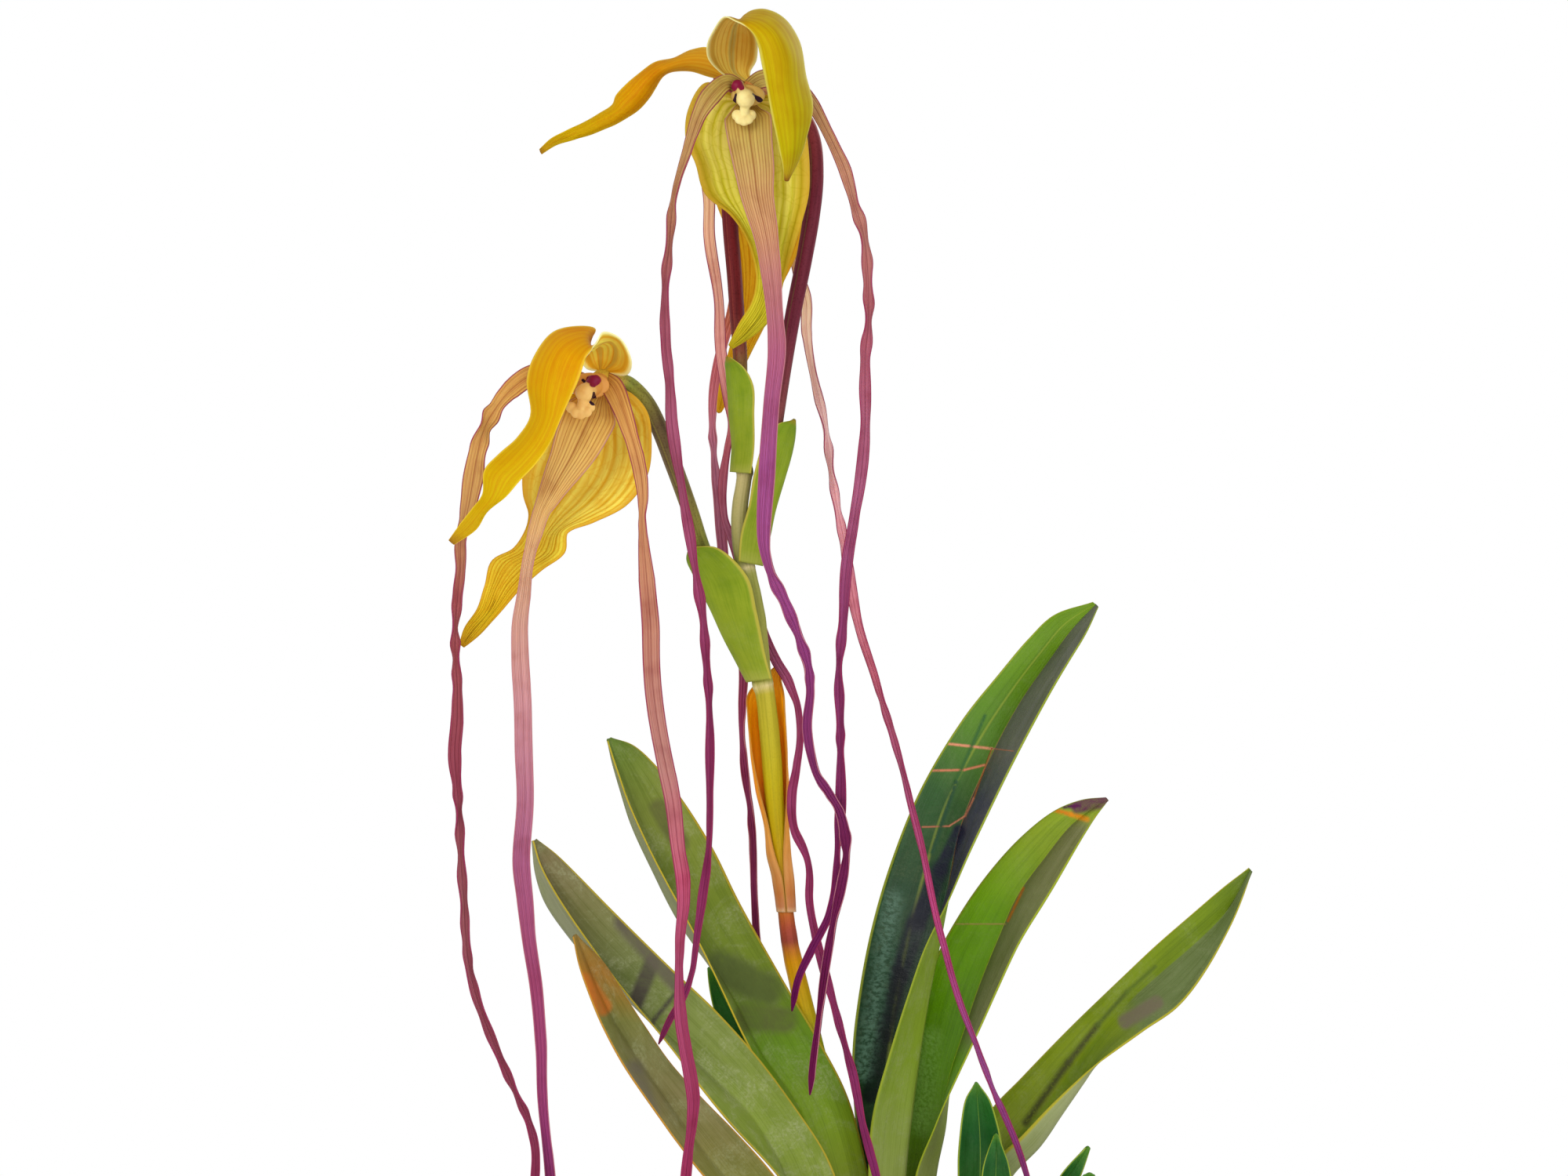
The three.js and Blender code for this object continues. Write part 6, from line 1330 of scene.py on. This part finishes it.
class ORCHID_OT_bracts(bpy.types.Operator):
    """Make the boat-shaped bracts at the nodes of the scape"""
    bl_idname = "orchid.bracts"
    bl_label = "Bracts"

    def execute(self, context):
        paint = leaf_paint("bract", BRACT_LOOK, "b4ac40", 0.08, 0.42, tint="d4e4a4")
        for seed, (node, rows) in enumerate(BRACT_ROWS.items()):
            def relief(side, share, seed=seed):
                swell = 0.3 * ripple(seed + 30, side, share, 5) - 0.12 * math.cos(side * 14)
                return swell * eased(share, 8, 5)
            blade(
                node, rail_section(rows, False), GRIDS["bract"], THICKNESS["bract"], [paint], relief)
        return {"FINISHED"}


class ORCHID_OT_sheath(bpy.types.Operator):
    """Make the dry, creased sheath round the lower scape"""
    bl_idname = "orchid.sheath"
    bl_label = "Dry sheath"

    def execute(self, context):
        stops = [(share_at(SHEATH_ROWS, py), colour) for py, colour in SHEATH_LOOK]
        paint = petal_paint("dry_sheath", stops, "b8843c", SHEATH_VEINS, "fce8c8", 30, 0.45, 0.0, 0.93)

        def relief(side, share):
            crease = noise.noise(Vector((side * 5, share * 4, 3.1))) + 0.5 * noise.noise(
                Vector((side * 11, share * 9, 8.2)))
            return 0.45 * crease * min(1, share * 6)
        blade("dry_sheath", sheath_section(SHEATH_ROWS), GRIDS["sheath"], THICKNESS["bract"], [paint],
              relief, 0.5)
        return {"FINISHED"}


class ORCHID_OT_pedicels(bpy.types.Operator):
    """Make the three flower stalks, each with the knob that its bloom grows from"""
    bl_idname = "orchid.pedicels"
    bl_label = "Pedicels"

    def execute(self, context):
        for node, look in PEDICEL_LOOKS.items():
            rows = PEDICEL_ROWS[node]
            bm = bmesh.new()
            bm.loops.layers.uv.new(BLADE_UV)

            def ribs(angle, _):
                return 0.14 * abs(math.cos(1.5 * angle)) - 0.08 + 0.05 * math.cos(6 * angle)
            tube(bm, rows, GRIDS["pedicel"], ribs)
            knob = ball(bm, at(*COLUMN_POINTS[node.split("_")[0]]["knob"]), (KNOB_RADIUS,) * 3)
            end = bm.loops.layers.uv.active
            for face in {face for vert in knob for face in vert.link_faces}:
                for loop in face.loops:
                    loop[end].uv = (0.5, 1)
            stops = [(share_at(rows, py), colour) for py, colour in look["colours"]]
            paint = stem_paint(f"{node}_skin", stops, look["tint"], look["edge"], 0.5, 3)
            show(f"{node}_fine", node, bm, [paint])
        return {"FINISHED"}


class ORCHID_OT_sepals(bpy.types.Operator):
    """Make the veined dorsal sepals and the joined lower sepals of the three blooms"""
    bl_idname = "orchid.sepals"
    bl_label = "Sepals"

    def execute(self, context):
        settings = context.scene.orchid_bloom
        for seed, (node, look) in enumerate(SEPAL_LOOKS.items()):
            lower = node.endswith("synsepal")
            veins = SYNSEPAL_VEINS if lower else STRAP_VEINS

            def relief(side, share, seed=seed, veins=veins, lower=lower):
                out = abs(side)
                groove = sum(
                    height * math.exp(-((out - place) / 0.055) ** 2) for place, _, height in veins)
                roll = settings.rim_roll * max(0, (out - 0.72) / 0.28) ** 2 if lower else 0
                wave = 0.6 * ripple(seed + 40, side, share, 9) * out ** 2
                groove *= settings.vein_depth if lower else -settings.vein_depth
                return (groove + roll + wave) * eased(share, 7, 7)
            paints = [
                petal_paint(
                    f"{node}_{face}", look[face],
                    look.get("hood_rim", look["margin"]) if face == "first" else look["margin"],
                    HOOD_VEINS if face == "first" and not lower else veins, look["tint"], 30, 0.5,
                    look.get("net", 0.0), 0.86,
                    look.get("bands", ()) if (face == "first") != lower else ())
                for face in ("first", "second")]
            blade(node, rail_section(SEPAL_ROWS[node], False), GRIDS["sepal"], THICKNESS["sepal"],
                  paints, relief, 0.5)
        return {"FINISHED"}


class ORCHID_OT_ribbons(bpy.types.Operator):
    """Make the ribbon petals and lips of the three blooms"""
    bl_idname = "orchid.ribbons"
    bl_label = "Ribbons"

    def execute(self, context):
        settings = context.scene.orchid_bloom
        for seed, (node, colours) in enumerate(RIBBON_LOOKS.items()):
            rows = RIBBON_ROWS[node]
            lip = node.endswith("lip")

            def relief(side, share, seed=seed):
                furrow = settings.ribbon_fold * math.cos(3 * math.pi * side)
                drift = 0.5 * ripple(seed + 60, side, share, 46) * side
                return (furrow + drift) * eased(share, 12, 14)
            stops = [(share_at(rows, py), colour) for py, colour in colours]
            kind = "lip" if lip else "petal"
            rim, veins, vein, streaks, streak_depth, rim_from = RIBBON_FINISH[kind]
            paint = petal_paint(
                f"{node}_skin", stops, rim, veins, vein, streaks, streak_depth, rim_from=rim_from)
            blade(node, ribbon_section(rows), GRIDS[kind], THICKNESS["ribbon"], [paint], relief, 0.4)
        return {"FINISHED"}


def stain_at(spot, chain, depth):
    """How far inside a chain of round marks a spot lies, seen from the front: 0.5 at its edge."""
    inside = -1
    for (x0, y0, radius), (x1, y1, end_radius) in zip(chain, chain[1:]):
        start, end = at(x0, y0, depth), at(x1, y1, depth)
        share = min(max((spot - start).dot(end - start) / (end - start).length_squared, 0), 1)
        gap = spot - start.lerp(end, share)
        gap.y = 0
        inside = max(inside, radius + (end_radius - radius) * share - gap.length)
    return min(max(0.5 + inside / STAIN_BLUR, 0), 1)


class ORCHID_OT_columns(bpy.types.Operator):
    """Make the waxy columns, with their patch and eyes"""
    bl_idname = "orchid.columns"
    bl_label = "Columns"

    def execute(self, context):
        for bloom, marks in COLUMN_MARKS.items():
            points = COLUMN_POINTS[bloom]
            knob, head, collar, crest, nub = (
                at(*points[k]) for k in ("knob", "head", "collar", "crest", "nub"))
            facing = (head - knob).normalized()
            bm = bmesh.new()
            rod(bm, knob, head, COLUMN_STEM)
            ball(bm, head, (HEAD_RADIUS,) * 3)
            ball(bm, collar, points["reach"])
            ball(bm, crest, (CREST_RADIUS,) * 3)
            rod(bm, crest, head.lerp(collar, 0.4), CREST_NECK)
            rod(bm, head, nub, LOBE_NECK)
            ball(bm, nub, NUB_SIZE)
            for place in points["lobe"]:
                ball(bm, at(*place), LOBE_SIZE)
            paint = column_paint(f"{bloom}_column_wax", marks["wax"], marks["collar"])
            piece = show(f"{bloom}_column_fine", f"{bloom}_column", bm, [paint])
            remesh = piece.modifiers.new("blend", "REMESH")
            remesh.mode = "VOXEL"
            remesh.voxel_size = COLUMN_VOXEL * MM
            remesh.use_smooth_shade = True
            smooth = piece.modifiers.new("smooth", "SMOOTH")
            smooth.iterations = 5
            settle(piece)
            stain = piece.data.color_attributes.new("stain", "FLOAT_COLOR", "POINT")
            for vert, colour in zip(piece.data.vertices, stain.data):
                spot = vert.co / MM
                ahead = (spot - knob).dot(facing) > STAIN_AHEAD
                patch = stain_at(spot, marks["patch"], points["crest"][2])
                eye = max(stain_at(spot, chain, points["head"][2]) for chain in marks["eyes"])
                behind = min(max(((head - spot).dot(facing) - 2.5) / 2.5, 0), 1)
                colour.color = (patch * ahead, eye * ahead, behind, 1)
        return {"FINISHED"}


class ORCHID_OT_bark(bpy.types.Operator):
    """Fill the pot with bark chips"""
    bl_idname = "orchid.bark"
    bl_label = "Bark"

    def execute(self, context):
        settings = context.scene.orchid_pot
        draw = random.Random(BARK_SEED)
        low, high = (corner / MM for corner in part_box("potting_mix"))
        reach = high.x - 0.3
        bm = bmesh.new()
        shade = bm.verts.layers.float.new("chip_shade")
        foot, top = low.z, MIX_SURFACE - 5
        filling = bmesh.ops.create_cone(
            bm, cap_ends=True, segments=72, radius1=(POT_BASE_RADIUS - POT_WALL) * MM,
            radius2=reach * MM, depth=(top - foot) * MM,
            matrix=Matrix.Translation((0, 0, (foot + top) / 2 * MM)))["verts"]
        for vert in filling:
            vert[shade] = 0.1
        golden = math.pi * (3 - math.sqrt(5))
        for k in range(settings.chips):
            size = [settings.chip_length * draw.uniform(*span) for span in CHIP_SIDES]
            chip = bmesh.ops.create_icosphere(bm, subdivisions=2, radius=1)["verts"]
            tone = draw.uniform(0.2, 1)
            for vert in chip:
                vert[shade] = tone
                blunt = max(abs(part) for part in vert.co) ** 0.75
                rough = 0.5 / blunt * (0.86 + 0.28 * draw.random())
                vert.co = Vector([part * side * rough for part, side in zip(vert.co, size)])
            turn = (Matrix.Rotation(draw.uniform(0, 2 * math.pi), 4, "Z")
                    @ Matrix.Rotation(draw.uniform(-CHIP_TILT, CHIP_TILT), 4, "X")
                    @ Matrix.Rotation(draw.uniform(-CHIP_TILT, CHIP_TILT), 4, "Y"))
            bmesh.ops.transform(bm, matrix=turn, verts=chip)
            flat = max(vert.co.xy.length for vert in chip)
            out = max(0, reach - flat - 0.4) * math.sqrt((k + 0.5) / settings.chips)
            rise = min(MIX_SURFACE - draw.uniform(0.5, 4), high.z - max(vert.co.z for vert in chip))
            shift = Vector((out * math.cos(k * golden), out * math.sin(k * golden), rise))
            for vert in chip:
                vert.co = (vert.co + shift) * MM
        bmesh.ops.recalc_face_normals(bm, faces=bm.faces)
        show("potting_mix_fine", "potting_mix", bm, [bark_paint()], smooth=False)
        return {"FINISHED"}


class ORCHID_OT_pot(bpy.types.Operator):
    """Turn the clay pot and cut its drainage holes"""
    bl_idname = "orchid.pot"
    bl_label = "Pot"

    def execute(self, context):
        floor, band = POT_WALL + 2, POT_HEIGHT - RIM_BAND_HEIGHT
        wall, mouth, foot = POT_RIM_RADIUS - RIM_BAND_STEP, POT_RIM_RADIUS - POT_WALL, POT_BASE_RADIUS
        profile = [
            (0, 0), (foot - 2, 0), (foot - 0.5, 0.6), (foot, 2),
            (wall - 2, band - 2), (wall - 0.6, band - 0.6), (wall, band),
            (POT_RIM_RADIUS - 0.8, band + 0.8), (POT_RIM_RADIUS, band + 3),
            (POT_RIM_RADIUS, POT_HEIGHT - 2.2), (POT_RIM_RADIUS - 0.6, POT_HEIGHT - 0.7),
            (POT_RIM_RADIUS - 2, POT_HEIGHT), (mouth + 1.6, POT_HEIGHT),
            (mouth + 0.3, POT_HEIGHT - 0.6), (mouth, POT_HEIGHT - 1.6),
            (foot - POT_WALL + 2, floor + 2), (foot - POT_WALL, floor), (0, floor)]
        bm = bmesh.new()
        verts = [bm.verts.new((radius * MM, 0, height * MM)) for radius, height in profile]
        edges = [bm.edges.new(pair) for pair in zip(verts, verts[1:])]
        bmesh.ops.subdivide_edges(bm, edges=[edges[3], edges[14]], cuts=30)
        bmesh.ops.spin(
            bm, geom=[*bm.verts, *bm.edges], cent=(0, 0, 0), axis=(0, 0, 1), angle=2 * math.pi,
            steps=128, use_merge=True)
        bmesh.ops.remove_doubles(bm, verts=bm.verts, dist=1e-6)
        for vert in bm.verts:
            height = vert.co.z / MM
            if 3 < height < POT_HEIGHT - 3:
                way = vert.co.xy.normalized()
                hand = noise.noise(Vector((way.x * 0.6, way.y * 0.6, height * 0.16)))
                vert.co.xy -= way * (0.12 + 0.12 * hand) * MM * (1 if vert.co.xy.length > 1e-4 else 0)
        bmesh.ops.recalc_face_normals(bm, faces=bm.faces)
        drains = bmesh.new()
        for k in range(DRAIN_COUNT):
            angle = math.pi / DRAIN_COUNT + 2 * math.pi * k / DRAIN_COUNT
            middle = Vector((DRAIN_CIRCLE * math.cos(angle), DRAIN_CIRCLE * math.sin(angle), 0))
            rod(drains, middle + Vector((0, 0, -POT_WALL - 2)), middle + Vector((0, 0, 2 * floor)),
                (DRAIN_RADIUS, DRAIN_RADIUS))
        holes = bpy.data.meshes.new("drains")
        drains.to_mesh(holes)
        drains.free()
        cutter = bpy.data.objects.new("drains", holes)
        bpy.context.collection.objects.link(cutter)
        piece = show("pot_fine", "pot", bm, [clay_paint(context.scene.orchid_pot.clay)])
        cut = piece.modifiers.new("drains", "BOOLEAN")
        cut.operation = "DIFFERENCE"
        cut.object = cutter
        settle(piece)
        piece.data.set_sharp_from_angle(angle=math.radians(40))
        bpy.data.objects.remove(cutter)
        return {"FINISHED"}


class ORCHID_OT_stage(bpy.types.Operator):
    """Set the floor, the softboxes and the camera"""
    bl_idname = "orchid.stage"
    bl_label = "Stage"

    def execute(self, context):
        settings = context.scene.orchid_stage
        scene = context.scene
        bm = bmesh.new()
        bmesh.ops.create_circle(bm, cap_ends=True, segments=96, radius=FLOOR_RADIUS)
        mesh = bpy.data.meshes.new("floor")
        bm.to_mesh(mesh)
        bm.free()
        floor = bpy.data.objects.new("floor", mesh)
        scene.collection.objects.link(floor)
        paint = Paint("floor", {"Roughness": 0.7, "Specular IOR Level": 0.2})
        spot = paint.object_place()
        speck = paint.noise(spot, 14.0, 3.0)
        tone = tuple(settings.floor)
        colour = paint.mix(speck, (*tone, 1), (*[c * 0.97 for c in tone], 1))
        far = paint.node("ShaderNodeVectorMath", {0: spot}, 1, operation="LENGTH")
        far = paint.remap(far, 0.5, 1.6, 1, 0)
        paint.tree.links.new(far, paint.shader.inputs["Alpha"])
        mesh.materials.append(paint.done(colour))

        world = scene.world or bpy.data.worlds.new("studio")
        scene.world = world
        world.use_nodes = True
        tree = world.node_tree
        tree.nodes.clear()
        path = tree.nodes.new("ShaderNodeLightPath")
        room = tree.nodes.new("ShaderNodeBackground")
        room.inputs[0].default_value = (1, 0.99, 0.97, 1)
        room.inputs[1].default_value = settings.room
        sheet = tree.nodes.new("ShaderNodeBackground")
        sheet.inputs[0].default_value = (1, 1, 1, 1)
        blend = tree.nodes.new("ShaderNodeMixShader")
        out = tree.nodes.new("ShaderNodeOutputWorld")
        tree.links.new(path.outputs["Is Camera Ray"], blend.inputs[0])
        tree.links.new(room.outputs[0], blend.inputs[1])
        tree.links.new(sheet.outputs[0], blend.inputs[2])
        tree.links.new(blend.outputs[0], out.inputs[0])

        for name, place, width, share, colour in SOFTBOXES:
            light = bpy.data.lights.new(name, "AREA")
            light.shape = "SQUARE"
            light.size = width
            light.energy = settings.key_power * share
            light.color = colour
            box = bpy.data.objects.new(name, light)
            box.location = place
            way = Vector(LIGHT_AIM) - Vector(place)
            box.rotation_euler = way.to_track_quat("-Z", "Y").to_euler()
            scene.collection.objects.link(box)

        camera = bpy.data.objects.new("camera", bpy.data.cameras.new("camera"))
        camera.data.lens = LENS
        camera.data.sensor_width = SENSOR_WIDTH
        camera.data.clip_start = 0.1
        camera.location = (VIEW_AXIS[0] * MM, -VIEW_DISTANCE * MM, VIEW_AXIS[1] * MM)
        camera.rotation_euler = (math.pi / 2, 0, 0)
        scene.collection.objects.link(camera)
        scene.camera = camera
        scene.view_settings.view_transform = "Standard"
        return {"FINISHED"}


OPERATORS = (
    ORCHID_OT_leaves, ORCHID_OT_young_leaves, ORCHID_OT_scape, ORCHID_OT_bracts, ORCHID_OT_sheath,
    ORCHID_OT_pedicels, ORCHID_OT_sepals, ORCHID_OT_ribbons, ORCHID_OT_columns, ORCHID_OT_bark,
    ORCHID_OT_pot, ORCHID_OT_stage,
)
SETTINGS = {
    "orchid_leaf": OrchidLeafSettings, "orchid_bloom": OrchidBloomSettings,
    "orchid_pot": OrchidPotSettings, "orchid_stage": OrchidStageSettings,
}


class ORCHID_PT_panel(bpy.types.Panel):
    bl_label = "Orchid"
    bl_idname = "ORCHID_PT_panel"
    bl_space_type = "VIEW_3D"
    bl_region_type = "UI"
    bl_category = "Orchid"

    def draw(self, context):
        for name, group in SETTINGS.items():
            box = self.layout.box()
            for key in group.__annotations__:
                box.prop(getattr(context.scene, name), key)
        for operator in OPERATORS:
            self.layout.operator(operator.bl_idname)


def register():
    for group in (*SETTINGS.values(), *OPERATORS, ORCHID_PT_panel):
        bpy.utils.register_class(group)
    for name, group in SETTINGS.items():
        setattr(bpy.types.Scene, name, PointerProperty(type=group))


def unregister():
    for name in SETTINGS:
        delattr(bpy.types.Scene, name)
    for group in reversed((*SETTINGS.values(), *OPERATORS, ORCHID_PT_panel)):
        bpy.utils.unregister_class(group)


def main():
    register()
    for operator in OPERATORS:
        getattr(bpy.ops.orchid, operator.bl_idname.split(".")[1])()


if __name__ == "__main__":
    main()
